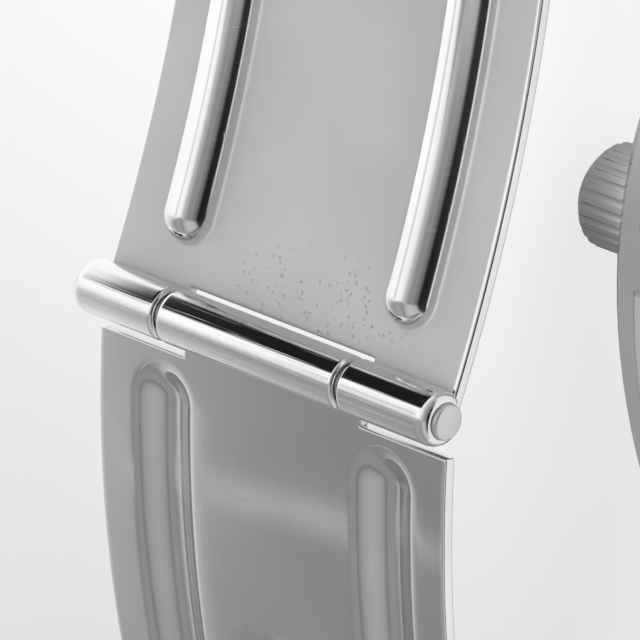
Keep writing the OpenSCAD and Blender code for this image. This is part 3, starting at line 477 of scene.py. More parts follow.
@dataclass(frozen=True)
class DialFinish:
    """Silvered dial with rays from the middle and a minute track.

    Args:
        name: Name of the material.
        ground: Colour of the dial.
        ink: Colour of the minute track.
        ticks: Number of marks round the track.
        track: Inner and outer radius of the track in millimetres.
        line: Half the width of its lines in millimetres.
    """

    name: str = "rayed_dial"
    ground: Colour = (0.86, 0.87, 0.88)
    ink: Colour = (0.03, 0.03, 0.035)
    ticks: int = 60
    track: Spot = (11.85, 12.4)
    line: float = 0.05

    def make(self) -> bpy.types.Material:
        """Builds the material.

        Returns:
            The finished material.
        """
        material, desk, place = new_material(self.name)
        face = desk.mapped(place, (1 / MM, 0.0, 1 / MM))
        axes = desk.add("ShaderNodeSeparateXYZ", Vector=face)
        reach = desk.length(face)
        share = desk.maths("DIVIDE", desk.maths("ARCTAN2", axes.outputs[2], axes.outputs[0]), math.tau)
        ray_place = desk.add("ShaderNodeCombineXYZ", X=desk.maths("MULTIPLY", share, 900.0),
                             Y=desk.maths("MULTIPLY", reach, 0.25))
        rays = desk.noise(ray_place.outputs[0], 1.0, Detail=3.0)
        step = desk.maths("FRACT", desk.maths("MULTIPLY_ADD", share, float(self.ticks), 0.5))
        off = desk.maths("ABSOLUTE", desk.maths("SUBTRACT", step, 0.5))
        arc = desk.maths("MULTIPLY", desk.maths("MULTIPLY", off, reach), math.tau / self.ticks)
        tick = desk.maths("LESS_THAN", arc, self.line)
        inner, outer = self.track
        band = desk.maths("MULTIPLY", desk.maths("GREATER_THAN", reach, inner),
                          desk.maths("LESS_THAN", reach, outer))
        ring = desk.maths("LESS_THAN", desk.maths("ABSOLUTE", desk.maths("SUBTRACT", reach, outer)), self.line)
        marks = desk.maths("MAXIMUM", desk.maths("MULTIPLY", tick, band), ring)
        tone = desk.blend(rays, tuple(c * 0.86 for c in self.ground), self.ground)
        bump = desk.add("ShaderNodeBump", Strength=0.3, Distance=BUMP, Height=rays)
        desk.surface(desk.add("ShaderNodeBsdfPrincipled", Base_Color=desk.blend(marks, tone, self.ink),
                              Metallic=desk.maths("MULTIPLY_ADD", marks, -0.35, 0.35),
                              Roughness=desk.maths("MULTIPLY_ADD", rays, 0.15, 0.3), Normal=bump.outputs[0]))
        return material


class Finish(Enum):
    """Every finish on the watch, with the record's slot that it stands for."""

    RIBBED = ("clasp_steel", SteelFinish("worn_clasp_steel_with_painted_glints", (0.87, 0.87, 0.875), 0.1, 0.06, 0.25, pits=30.0,
                                         bend=(23.8062, 82.5318, -52.5), flat=0.98, flat_rough=0.45,
                                         flat_matt=0.66))
    # The grooved blade's flat=0.8 is painted shade: the same clasp steel, darkened on its flats; the ribbed
    # blade's satin flats are its real finish.
    GROOVED = ("clasp_steel", SteelFinish("grooved_clasp_steel_with_painted_shade", (0.87, 0.87, 0.875), 0.1, 0.08, 0.2,
                                          bend=(7.59656, -9.27896, 42.0), flat=0.8))
    POLISHED = ("polished_steel", SteelFinish("polished_case_steel", rough=0.08, scratch=0.2))
    BRUSHED = ("polished_steel", SteelFinish("brushed_link_steel", rough=0.2, scratch=0.2, grain=0.8))
    PIN = ("pin_steel", SteelFinish("pin_steel", (0.88, 0.88, 0.885), 0.12, 0.08, 0.6))
    SPRING = ("spring_steel", SteelFinish("spring_steel", colour=(0.6, 0.6, 0.62), rough=0.2))
    GLASS = ("crystal_glass", GlassFinish())
    RUBBER = ("seal_rubber", PlainFinish("black_rubber", (0.02, 0.02, 0.02), (0.035, 0.035, 0.035), 0.6))
    PLASTIC = ("seal_plastic", PlainFinish("white_seal", (0.8, 0.8, 0.78), (0.72, 0.72, 0.7), 0.4))
    DIAL = ("dial_paint", PlainFinish("dial_lacquer", (0.78, 0.78, 0.76), (0.72, 0.72, 0.7), 0.3, 0.3))
    FACE = ("dial_paint", DialFinish())
    MARKER = ("marker_metal", SteelFinish("dark_marker_metal", colour=(0.16, 0.17, 0.19), rough=0.12))
    BRASS = ("movement_brass", SteelFinish("grained_brass", colour=(0.72, 0.55, 0.28), rough=0.25,
                                           grain=0.6))
    HOLDER = ("holder_metal", SteelFinish("holder_metal", colour=(0.5, 0.5, 0.5), rough=0.35, grain=0.6))
    ROTOR = ("rotor_metal", SteelFinish("rotor_metal", colour=(0.42, 0.42, 0.44), rough=0.28, grain=0.7))

    @property
    def slot(self) -> str:
        """Name of the record's material slot."""
        return self.value[0]

    def material(self) -> bpy.types.Material:
        """The finish's material, built the first time that it is asked for."""
        design = self.value[1]
        return bpy.data.materials.get(design.name) or design.make()


# Making pieces -----------------------------------------------------------------------------------


def placed(name: str, shape: Solid) -> bpy.types.Object:
    """Turns a bmesh, which is freed, into an object of the scene.

    Args:
        name: Name of the object.
        shape: The bmesh, in metres in the frame.

    Returns:
        The new object.
    """
    mesh = bpy.data.meshes.new(name)
    shape.to_mesh(mesh)
    shape.free()
    thing = bpy.data.objects.new(name, mesh)
    bpy.context.scene.collection.objects.link(thing)
    return thing


def finished(name: str, shape: Solid, finish: Finish, body: str, *nodes: str, even: bool = False) -> None:
    """Turns a bmesh into a piece that rides on a body.

    Args:
        name: Name of the piece.
        shape: The bmesh, in metres in the frame, which is freed.
        finish: Finish of the piece.
        body: Body that the piece rides on.
        nodes: CAD nodes that the piece stands for.
        even: True where flat faces between rounded edges are shaded flat.
    """
    piece = placed(name, shape)
    mesh = piece.data
    mesh.shade_smooth()
    mesh.set_sharp_from_angle(angle=math.radians(SHARP))
    mesh.materials.append(finish.material())
    if even:
        flats = piece.modifiers.new("even_flats", "WEIGHTED_NORMAL")
        flats.mode, flats.weight, flats.keep_sharp = "FACE_AREA", 90, True
    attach(piece, body)
    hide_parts(*nodes)
    LOG.info("%s: %d faces, rides on %s", name, len(mesh.polygons), body)


def dressed(finish: Finish, *nodes: str) -> None:
    """Gives CAD nodes a finish and leaves their shape alone.

    Args:
        finish: The finish.
        nodes: Names of the nodes.
    """
    for name in nodes:
        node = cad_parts[name]
        if not node.material_slots:
            node.data.materials.append(None)
        for holder in node.material_slots:
            holder.material = finish.material()
        LOG.info("%s: dressed as %s", name, finish.name.lower())


def crisp_edges(shape: Solid, angle: float) -> list[bmesh.types.BMEdge]:
    """Edges between faces that meet at more than an angle in degrees."""
    limit = math.radians(angle)
    return [e for e in shape.edges if e.is_manifold and e.calc_face_angle(0.0) > limit]


def rounded(shape: Solid, size: float, angle: float = 40.0, segments: int = 2) -> None:
    """Rounds the crisp edges of a bmesh in place.

    Args:
        shape: The bmesh.
        size: Width of the rounding, in the units of the bmesh.
        angle: Angle in degrees from which an edge is crisp.
        segments: Number of faces across the rounding.
    """
    bmesh.ops.bevel(shape, geom=crisp_edges(shape, angle), offset=size, offset_type="OFFSET",
                    segments=segments, profile=0.5, affect="EDGES", material=-1, clamp_overlap=True)


def joined(shape: Solid, extra: Solid) -> None:
    """Adds a second bmesh to the first.

    Args:
        shape: The bmesh that grows.
        extra: The bmesh that is added, which is freed.
    """
    keep = bpy.data.meshes.new("kept_shape")
    extra.to_mesh(keep)
    extra.free()
    shape.from_mesh(keep)
    bpy.data.meshes.remove(keep)


def softened(name: str, finish: Finish, body: str, node: str, size: float) -> None:
    """Makes a piece with a CAD node's shape and rounded edges.

    Args:
        name: Name of the piece.
        finish: Finish of the piece.
        body: Body that the piece rides on.
        node: CAD node that is copied and replaced.
        size: Width of the rounding in millimetres.
    """
    shape = bmesh.new()
    shape.from_mesh(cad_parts[node].data)
    bmesh.ops.remove_doubles(shape, verts=shape.verts, dist=1e-6)
    bmesh.ops.dissolve_limit(shape, angle_limit=math.radians(0.6), verts=shape.verts, edges=shape.edges)
    rounded(shape, size * MM)
    finished(name, shape, finish, body, node, even=True)


def turned(outline: list[Spot], base: Place, steps: int, edge: float = 0.0, hollow: bool = False) -> Solid:
    """A shape turned about an axis along Z.

    Args:
        outline: Pairs of radius and level along the axis, in millimetres.
        base: Point of the axis at level 0, in millimetres.
        steps: Number of steps round the axis.
        edge: Width of the rounding on crisp edges, in millimetres.
        hollow: True where the outline is a closed loop.

    Returns:
        The shape as a bmesh in metres.
    """
    shape = bmesh.new()
    corners = [shape.verts.new((radius, 0, level)) for radius, level in outline]
    pairs = list(zip(corners, corners[1:])) + ([(corners[-1], corners[0])] if hollow else [])
    sides = [shape.edges.new(pair) for pair in pairs]
    bmesh.ops.spin(shape, geom=corners + sides, cent=(0, 0, 0), axis=(0, 0, 1), dvec=(0, 0, 0),
                   angle=math.tau, steps=steps, use_merge=True)
    bmesh.ops.remove_doubles(shape, verts=shape.verts, dist=1e-5)
    bmesh.ops.recalc_face_normals(shape, faces=shape.faces)
    if edge:
        rounded(shape, edge, 30.0)
    bmesh.ops.translate(shape, verts=shape.verts, vec=base)
    bmesh.ops.scale(shape, verts=shape.verts, vec=(MM, MM, MM))
    return shape


# Clasp blades ------------------------------------------------------------------------------------


@dataclass(frozen=True)
class Arc:
    """The front face of a bent sheet in the side view.

    Args:
        centre: Middle of the bend, in millimetres.
        radius: Radius of the front face.
        start: Angle of the hinge end, in degrees.
        bulge: 1 where the front face looks away from the middle, -1 where it looks towards it.
    """

    centre: Vector
    radius: float
    start: float
    bulge: int

    def front(self, place: float) -> Vector:
        """Direction in which the front face looks at a distance along the sheet."""
        return self.bulge * heading(self.start + math.degrees(place / self.radius))

    def along(self, place: float) -> Vector:
        """Direction in which the sheet runs at a distance along it."""
        angle = math.radians(self.start) + place / self.radius
        return Vector((-math.sin(angle), math.cos(angle)))

    def at(self, place: float, rise: float) -> Vector:
        """Point at a distance along the sheet and a height in front of its face."""
        return self.centre + (self.radius + self.bulge * rise) * self.bulge * self.front(place)


@dataclass(frozen=True)
class Roll:
    """A hinge knuckle rolled from the end of a sheet.

    Args:
        axis: Middle of the knuckle in the side view.
        out: Direction from the axis to the sheet.
        run: Direction in which the sheet arrives at the axis.
        inside_first: True where the sheet's front face ends up inside the knuckle.
        outer: Outer radius.
        inner: Inner radius.
        sweep: Angle of the roll, in degrees.
    """

    axis: Vector
    out: Vector
    run: Vector
    inside_first: bool
    outer: float = 0.88
    inner: float = 0.59
    sweep: float = 300.0

    @property
    def length(self) -> float:
        """Length of sheet that the roll takes up."""
        return math.radians(self.sweep) * (self.outer + self.inner) / 2

    def at(self, beyond: float, depth: float, worn: float) -> Vector:
        """Point of the roll.

        Args:
            beyond: Distance beyond the axis, measured along the sheet.
            depth: Share of the thickness below the front face, from 0 to 1.
            worn: Distance that the outside is rounded away there.

        Returns:
            The point in the side view.
        """
        angle = beyond / self.length * math.radians(self.sweep)
        share = depth if self.inside_first else 1.0 - depth
        reach = self.inner + (self.outer - self.inner - worn * eased(beyond / 0.25)) * share
        return self.axis + reach * (math.cos(angle) * self.out + math.sin(angle) * self.run)


def rounding(inside: float, radius: float) -> float:
    """Distance that a quarter round takes off at a distance inside an edge."""
    gap = radius - min(max(inside, 0.0), radius)
    return radius - math.sqrt(radius * radius - gap * gap)


def capsule_rise(place: float, side: float, ends: Spot, width: float, height: float) -> float:
    """Height of a long pressed rib with round ends.

    Args:
        place: Distance along the rib's line.
        side: Distance from the rib's line.
        ends: Middles of the two round ends along the line.
        width: Width of the rib.
        height: Height of the rib.

    Returns:
        The height at that point, eased into the sheet round the foot.
    """
    over = max(ends[0] - place, place - ends[1], 0.0)
    away = math.hypot(over, side)
    radius = (width * width / 4 + height * height) / (2 * height)
    if away >= radius:
        return 0.0
    rise = math.sqrt(radius * radius - away * away) - (radius - height)
    ease = 0.07
    return 0.5 * (rise + math.sqrt(rise * rise + ease * ease)) if rise > -6 * ease else 0.0


def trough_depth(place: float, side: float, ends: Spot, width: float, depth: float) -> float:
    """Depth of a long pressed groove with soft walls and round ends.

    Args:
        place: Distance along the groove's line.
        side: Distance from the groove's line.
        ends: Middles of the two round ends along the line.
        width: Width of the groove.
        depth: Depth of the groove.

    Returns:
        The depth at that point.
    """
    over = max(ends[0] - place, place - ends[1], 0.0)
    away = math.hypot(over, side) / (width / 2 + 0.1)
    return depth * (0.5 + 0.5 * math.cos(math.pi * min(away, 1.0)))


@dataclass
class Blade:
    """What the two blades of the clasp share. Sizes are in millimetres and directions in degrees.

    Args:
        name: Name of the piece.
        node: CAD node that it stands for, and body that it rides on.
        width: Width of the blade.
        sheet: Thickness of the sheet.
        hinge: Axis of the middle hinge in the side view.
        axis_rise: Height of that axis in front of the blade.
        knuckle: Length of the middle knuckle.
        knuckle_gap: Gap on each side of it.
        knuckle_round: Rounding of the knuckles' ends.
        rib_line: Distance of the ribs and grooves from their middle line.
        rib_shift: Distance of that line from the middle of the blade.
        edge: Rounding of the sheet's edges.
        thinning: Length over which the sheet passes into a knuckle.
    """

    name: str
    node: str
    width: float = 15.0
    sheet: float = 0.4
    hinge: Spot = (7.3, 33.2)
    axis_rise: float = 0.48
    knuckle: float = 7.62
    knuckle_gap: float = 0.17
    knuckle_round: float = 0.14
    rib_line: float = 4.77
    rib_shift: float = 0.11
    edge: float = 0.07
    thinning: float = 0.5

    def lines_along(self) -> list[float]:
        """Places of the grid lines that run across the blade."""
        raise NotImplementedError

    def lines_across(self) -> list[float]:
        """Places of the grid lines that run along the blade."""
        inner = self.knuckle / 2
        half = [0.0, *stops(0.55, 3.3, 0.55), *stops(3.3, 6.2, 0.075),
                *stops(6.2, self.width / 2 - 0.4, 0.25)]
        near = (0.0, 0.09, 0.13, 0.18, 0.24, 0.32)
        edges = [inner - n for n in near] + [inner + self.knuckle_gap + n for n in near]
        edges += [self.width / 2 - n for n in (0.0, self.edge + 0.02, 0.24, 0.32)]
        kept = [p for p in half if all(abs(p - e) > 0.05 for e in edges)]
        places = joined_stops(kept, edges)
        return [-p for p in reversed(places) if p > 0] + places

    def has_metal(self, place: float, side: float) -> bool:
        """True where the flat blank has metal."""
        raise NotImplementedError

    def point(self, place: float, side: float, depth: float) -> Vector:
        """Point of the bent blade in the frame, in millimetres."""
        raise NotImplementedError

    def shape(self) -> Solid:
        """Cuts the flat blank, gives it its thickness and edges, presses and bends it.

        Returns:
            The blade as a bmesh in metres.
        """
        along, across = self.lines_along(), self.lines_across()
        blank = bmesh.new()
        bmesh.ops.create_grid(blank, x_segments=len(along) - 1, y_segments=len(across) - 1, size=0.5)
        for corner in blank.verts:
            column = round((corner.co.x + 0.5) * (len(along) - 1))
            row = round((corner.co.y + 0.5) * (len(across) - 1))
            corner.co = (along[column], across[row], 0.0)
        waste = [f for f in blank.faces if not self.has_metal(f.calc_center_median().x,
                                                              f.calc_center_median().y)]
        bmesh.ops.delete(blank, geom=waste, context="FACES")
        grown = bmesh.ops.extrude_face_region(blank, geom=blank.faces[:], use_keep_orig=True)
        backs = [g for g in grown["geom"] if isinstance(g, bmesh.types.BMVert)]
        bmesh.ops.translate(blank, verts=backs, vec=(0, 0, -self.sheet))
        bmesh.ops.recalc_face_normals(blank, faces=blank.faces)
        rounded(blank, self.edge, 60.0, 3)
        for corner in blank.verts:
            place, side, height = corner.co
            corner.co = self.point(place, side, -height / self.sheet) * MM
        bmesh.ops.recalc_face_normals(blank, faces=blank.faces)
        return blank

    def line_away(self, side: float) -> float:
        """Distance from the nearer rib's or groove's line."""
        return abs(side - self.rib_shift) - self.rib_line


@dataclass
class RibbedBlade(Blade):
    """The blade between the cover and the middle hinge, with two raised ribs on its hollow face.

    Args:
        radius: Radius of the front face.
        direction: Direction of the sheet at the middle hinge.
        length: Length from hinge to hinge.
        clear: Length of the cut-outs beside the knuckles.
        rib_width: Width of the bulge behind a rib.
        rib_height: Height of a rib.
        rib_round: Radius of its crest.
        rib_wall: Steepest slope of its walls.
        rib_foot: Radius at the foot of the walls.
        rib_end: Distance from the hinges to the ribs' ends.
        bulge: Share of the rib's height that the sheet itself bulges.
        end_round: Rounding of the hinge's outer ends.
        proud: Distance that the hinge's near end stands past the edge.
    """

    name: str = "ribbed_blade"
    node: str = "blade_1"
    radius: float = 52.5
    direction: float = -18.5
    length: float = 24.0
    clear: float = 0.95
    rib_width: float = 1.7
    rib_height: float = 0.92
    rib_round: float = 0.92
    rib_wall: float = 80.0
    rib_foot: float = 0.06
    rib_end: float = 2.05
    bulge: float = 0.6
    end_round: float = 0.28
    proud: float = 0.3
    edge: float = 0.16

    @cached_property
    def arc(self) -> Arc:
        """The blade's front face."""
        centre = Vector(self.hinge) + (self.radius - self.axis_rise) * heading(self.direction + 90)
        return Arc(centre, self.radius, self.direction - 90, -1)

    @cached_property
    def rolls(self) -> tuple[Roll, Roll]:
        """The knuckle at the middle hinge and the one at the cover's hinge."""
        arc, end = self.arc, self.length
        return (Roll(Vector(self.hinge), -arc.front(0), -arc.along(0), True),
                Roll(arc.at(end, -Roll.outer), arc.front(end), arc.along(end), False))

    def lines_along(self) -> list[float]:
        """Places of the grid lines that run across the blade."""
        near, far = self.rolls
        end = self.length
        return joined_stops(
            stops(-near.length, -near.length + 0.2, 0.1), stops(-near.length + 0.2, 0, 0.085),
            stops(0, self.clear, 0.12), [self.clear + 0.18], stops(1.35, 2.1, 0.2), stops(2.1, 4.4, 0.075),
            stops(4.4, end - 4.4, 0.5), stops(end - 4.4, end - 2.1, 0.1), stops(end - 2.1, end - 1.2, 0.3),
            [end - self.clear - 0.09], stops(end - self.clear, end, 0.12),
            stops(end, end + far.length, 0.11))

    def has_metal(self, place: float, side: float) -> bool:
        """True where the flat blank has metal."""
        inner = self.knuckle / 2
        if place < self.clear:
            return abs(side) > inner + self.knuckle_gap
        return place < self.length - self.clear or abs(side) < inner

    def relief(self, place: float, side: float) -> float:
        """Height of the sheet's bulge behind the ribs."""
        first = self.rib_end + self.rib_width / 2 + 0.2
        return capsule_rise(place, self.line_away(side), (first, self.length - first), self.rib_width,
                            self.rib_height * self.bulge)

    def rib_section(self) -> list[Spot]:
        """Half a section of a rib, from its foot in to the crest, as distances and heights."""
        steep = math.radians(self.rib_wall)
        top = self.rib_round * (1 - math.cos(steep))
        foot = self.rib_foot * (1 - math.cos(steep))
        half = (self.rib_round + self.rib_foot) * math.sin(steep)
        half += (self.rib_height - top - foot) / math.tan(steep)
        low = [(half - self.rib_foot * math.sin(t), self.rib_foot * (1 - math.cos(t)))
               for t in (steep * n / 5 for n in range(6))]
        high = [(self.rib_round * math.sin(t), self.rib_height - self.rib_round * (1 - math.cos(t)))
                for t in (steep * n / 18 for n in range(18, -1, -1))]
        return [(half + 0.03, -0.01), *low, *high]

    def rib(self, line: float) -> Solid:
        """A crisp rib with round ends.

        Args:
            line: Distance of the rib from the middle of the blade.

        Returns:
            The rib, bent with the blade, as a bmesh in metres.
        """
        section = self.rib_section()
        first = self.rib_end + section[0][0]
        last = self.length - first
        shape = bmesh.new()
        corners = [shape.verts.new((last, away, height)) for away, height in section]
        moving = corners + [shape.edges.new(pair) for pair in zip(corners, corners[1:])]
        step = (last - first) / 48
        for middle, shift, turn, steps in ((last, -step, 0.0, 48), (first, 0.0, math.pi, 32),
                                           (first, step, 0.0, 48), (last, 0.0, math.pi, 32)):
            moving = bmesh.ops.spin(shape, geom=moving, cent=(middle, 0, 0), axis=(0, 0, 1),
                                    dvec=(shift, 0, 0), angle=turn, steps=steps)["geom_last"]
        bmesh.ops.remove_doubles(shape, verts=shape.verts, dist=1e-4)
        for corner in shape.verts:
            place, side, height = corner.co
            spot = self.arc.at(place, height)
            corner.co = Vector((spot.x, spot.y, line + side)) * MM
        bmesh.ops.recalc_face_normals(shape, faces=shape.faces)
        if shape.faces[0].normal.dot(Vector((*self.arc.front(last), 0.0))) < 0:
            bmesh.ops.reverse_faces(shape, faces=shape.faces)
        return shape

    def ends_in(self, place: float, side: float) -> float:
        """Distance that a knuckle's rounded end takes off the outside at a point."""
        inner = self.knuckle / 2
        if place > self.length:
            return rounding(inner - abs(side), self.knuckle_round)
        outer = rounding(self.width / 2 - abs(side), self.end_round)
        return outer + rounding(abs(side) - inner - self.knuckle_gap, self.knuckle_round)

    def point(self, place: float, side: float, depth: float) -> Vector:
        """Point of the bent blade in the frame, in millimetres."""
        near, far = self.rolls
        across = side
        if place < 0:
            spot = near.at(-place, depth, self.ends_in(place, side))
            across += self.proud * eased((side - 6.9) / 0.6) * eased(-place / 0.4)
        elif place > self.length:
            spot = far.at(place - self.length, depth, self.ends_in(place, side))
        else:
            thin = near.inner - self.axis_rise
            front = thin * (1 - eased(place / self.thinning)) * (1 - depth)
            back = thin * (1 - eased((self.length - place) / self.thinning)) * depth
            spot = self.arc.at(place, self.relief(place, side) - front - self.sheet * depth + back)
        return Vector((spot.x, spot.y, across))

    def build(self, finish: Finish) -> None:
        """Makes the blade's piece, with its two ribs."""
        shape = self.shape()
        for line in (self.rib_shift - self.rib_line, self.rib_shift + self.rib_line):
            joined(shape, self.rib(line))
        finished(self.name, shape, finish, self.node, self.node)


@dataclass
class GroovedBlade(Blade):
    """The blade between the middle hinge and the bracelet, with two grooves and a dimple.

    Args:
        radius: Radius of the front face.
        direction: Direction of the sheet at the middle hinge.
        length: Length from the hinge to the eye.
        clear: Length of the cut-outs beside the knuckle.
        groove_width: Width of a groove.
        groove_depth: Depth of a groove.
        groove_end: Distance from the hinge to the grooves' ends.
        eye_reach: Length of the narrow tongue that carries the eye.
        eye_width: Width of the tongue and the eye.
        eye_radius: Outer radius of the eye.
        eye_bore: Radius of the eye's bore.
        dimple_place: Distance from the hinge to the dimple's middle.
        dimple_radius: Radius of the dimple.
        dimple_depth: Depth of the dimple.
        dimple_wall: Width of the dimple's wall.
    """

    name: str = "grooved_blade"
    node: str = "blade_2"
    radius: float = 42.0
    direction: float = 180.4
    length: float = 26.7
    clear: float = 1.43
    groove_width: float = 2.75
    groove_depth: float = 0.6
    groove_end: float = 1.8
    eye_reach: float = 3.0
    eye_width: float = 9.4
    eye_radius: float = 0.98
    eye_bore: float = 0.63
    dimple_place: float = 11.4
    dimple_radius: float = 1.7
    dimple_depth: float = 0.15
    dimple_wall: float = 0.28

    @cached_property
    def arc(self) -> Arc:
        """The blade's front face."""
        centre = Vector(self.hinge) - (self.radius + self.axis_rise) * heading(self.direction - 90)
        return Arc(centre, self.radius, self.direction - 90, 1)

    @cached_property
    def roll(self) -> Roll:
        """The middle knuckle."""
        return Roll(Vector(self.hinge), -self.arc.front(0), -self.arc.along(0), True)

    def lines_along(self) -> list[float]:
        """Places of the grid lines that run across the blade."""
        start, shoulder = -self.roll.length, self.length - self.eye_reach
        return joined_stops(
            stops(start, start + 0.2, 0.1), stops(start + 0.2, 0, 0.085),
            stops(0, self.clear, 0.16), [self.clear + 0.09], stops(1.7, 4.4, 0.085), stops(4.4, 9.4, 0.5),
            stops(9.4, 13.4, 0.14), stops(13.4, 19.6, 0.5), stops(19.6, 22, 0.11),
            stops(22, shoulder - 0.09, 0.3), [shoulder], stops(shoulder, self.length - 0.8, 0.3))

    def has_metal(self, place: float, side: float) -> bool:
        """True where the flat blank has metal."""
        if place < self.clear:
            return abs(side) < self.knuckle / 2
        return place < self.length - self.eye_reach or abs(side) < self.eye_width / 2

    def relief(self, place: float, side: float) -> float:
        """Depth of the grooves and the dimple, as a negative height."""
        first = self.groove_end + self.groove_width / 2
        ends = (first, self.length - first - self.eye_reach)
        groove = trough_depth(place, self.line_away(side), ends, self.groove_width, self.groove_depth)
        away = math.hypot(place - self.dimple_place, side)
        dimple = self.dimple_depth * eased((self.dimple_radius - away) / self.dimple_wall)
        return -groove - dimple

    def point(self, place: float, side: float, depth: float) -> Vector:
        """Point of the bent blade in the frame, in millimetres."""
        if place < 0:
            spot = self.roll.at(-place, depth, rounding(self.knuckle / 2 - abs(side), self.knuckle_round))
        else:
            thin = (self.roll.inner - self.axis_rise) * (1 - eased(place / self.thinning)) * (1 - depth)
            spot = self.arc.at(place, self.relief(place, side) - thin - self.sheet * depth)
        return Vector((spot.x, spot.y, side))

    def build(self, finish: Finish) -> None:
        """Makes the blade's piece, with the eye at its end."""
        shape = self.shape()
        middle = self.arc.at(self.length, -self.sheet / 2)
        half = self.eye_width / 2
        ring = turned([(self.eye_bore, -half), (self.eye_radius, -half), (self.eye_radius, half),
                       (self.eye_bore, half)], (middle.x, middle.y, 0), 48, 0.05, hollow=True)
        joined(shape, ring)
        finished(self.name, shape, finish, self.node, self.node)


@dataclass
class FoldingClasp:
    """The opened clasp: cover, ribbed blade, grooved blade and their pins. Sizes are in millimetres.

    Args:
        ribbed: The ribbed blade.
        grooved: The grooved blade.
        pin_radius: Radius of the hinge pins.
        pin_ends: Levels of their two ends.
        cover_round: Rounding of the cover's edges.
    """

    ribbed: RibbedBlade = field(default_factory=RibbedBlade)
    grooved: GroovedBlade = field(default_factory=GroovedBlade)
    pin_radius: float = 0.575
    pin_ends: Spot = (-7.8, 7.98)
    cover_round: float = 0.16

    def pin(self, name: str, node: str, body: str, middle: Vector) -> None:
        """Makes a hinge pin with a domed end and a flat head.

        Args:
            name: Name of the piece.
            node: CAD node that it stands for.
            body: Body that it rides on.
            middle: The pin's axis in the side view.
        """
        low, high = self.pin_ends
        r = self.pin_radius
        outline = [(0, low), (r * 0.5, low + 0.02), (r * 0.82, low + 0.07), (r * 0.96, low + 0.15),
                   (r, low + 0.26), (r, high - 0.12), (r * 0.985, high - 0.05), (r * 0.94, high - 0.015),
                   (r * 0.87, high), (0, high)]
        shape = turned(outline, (middle.x, middle.y, 0), 64)
        finished(name, shape, Finish.PIN, body, node)

    def build(self) -> None:
        """Builds and dresses the clasp."""
        self.ribbed.build(Finish.RIBBED)
        self.grooved.build(Finish.GROOVED)
        near, far = self.ribbed.rolls
        self.pin("middle_hinge_pin", "hinge_pin_b", "blade_1", near.axis)
        self.pin("cover_hinge_pin", "hinge_pin_a", "clasp_cover", far.axis)
        softened("clasp_cover_plate", Finish.POLISHED, "clasp_cover", "clasp_cover", self.cover_round)
        dressed(Finish.SPRING, "cover_catch")
        dressed(Finish.PIN, "cover_bar", "eye_bar")


# Bracelet, case and the rest ---------------------------------------------------------------------


@dataclass
class Bracelet:
    """The links, end links, pins and spring bars.

    Args:
        links: Number of links on the 12 o'clock side and on the 6 o'clock side.
        link_round: Rounding of the links' edges, in millimetres.
        end_round: Rounding of the end links' edges, in millimetres.
    """

    links: tuple[int, int] = (6, 5)
    link_round: float = 0.16
    end_round: float = 0.14

    def build(self) -> None:
        """Builds and dresses the bracelet."""
        for side, count in zip((12, 6), self.links):
            for number in range(1, count + 1):
                node = f"link_{side}_{number}"
                softened(f"{node}_brushed", Finish.BRUSHED, node, node, self.link_round)
            pins = [f"pin_{side}_{n}" for n in range(1, count)]
            dressed(Finish.PIN, f"lug_bar_{side}", f"end_pin_{side}", *pins)
            softened(f"end_link_{side}_brushed", Finish.BRUSHED, "watch_head", f"end_link_{side}",
                     self.end_round)


@dataclass
class CaseWork:
    """The case with its back, bezel, crystal and seals. The fields are roundings in millimetres."""

    middle: float = 0.2
    back: float = 0.12
    bezel: float = 0.22
    crystal: float = 0.08

    def build(self) -> None:
        """Builds and dresses the case."""
        softened("case_middle_polished", Finish.POLISHED, "watch_head", "case_middle", self.middle)
        softened("case_back_polished", Finish.POLISHED, "watch_head", "case_back", self.back)
        softened("bezel_polished", Finish.POLISHED, "watch_head", "bezel", self.bezel)
        softened("crystal_clear", Finish.GLASS, "watch_head", "crystal", self.crystal)
        dressed(Finish.PLASTIC, "crystal_gasket")
        dressed(Finish.RUBBER, "back_gasket", "crown_gasket")
        dressed(Finish.DIAL, "rehaut")
        dressed(Finish.FACE, "dial")


class DialWork:
    """Markers and hands."""

    def build(self) -> None:
        """Dresses the markers and hands."""
        dressed(Finish.MARKER, "hour_markers", "hour_hand", "minute_hand", "second_hand")


@dataclass
class MovementWork:
    """The parts inside the case, and the crown with its rounding in millimetres."""

    crown: float = 0.07

    def build(self) -> None:
        """Dresses the movement and builds the crown."""
        dressed(Finish.BRASS, "main_plate", "train_bridge", "stem_collar")
        dressed(Finish.HOLDER, "movement_holder")
        dressed(Finish.ROTOR, "rotor")
        dressed(Finish.PIN, "rotor_screw", "winding_stem", "crown_tube")
        softened("crown_polished", Finish.POLISHED, "crown", "crown", self.crown)


# Studio ------------------------------------------------------------------------------------------


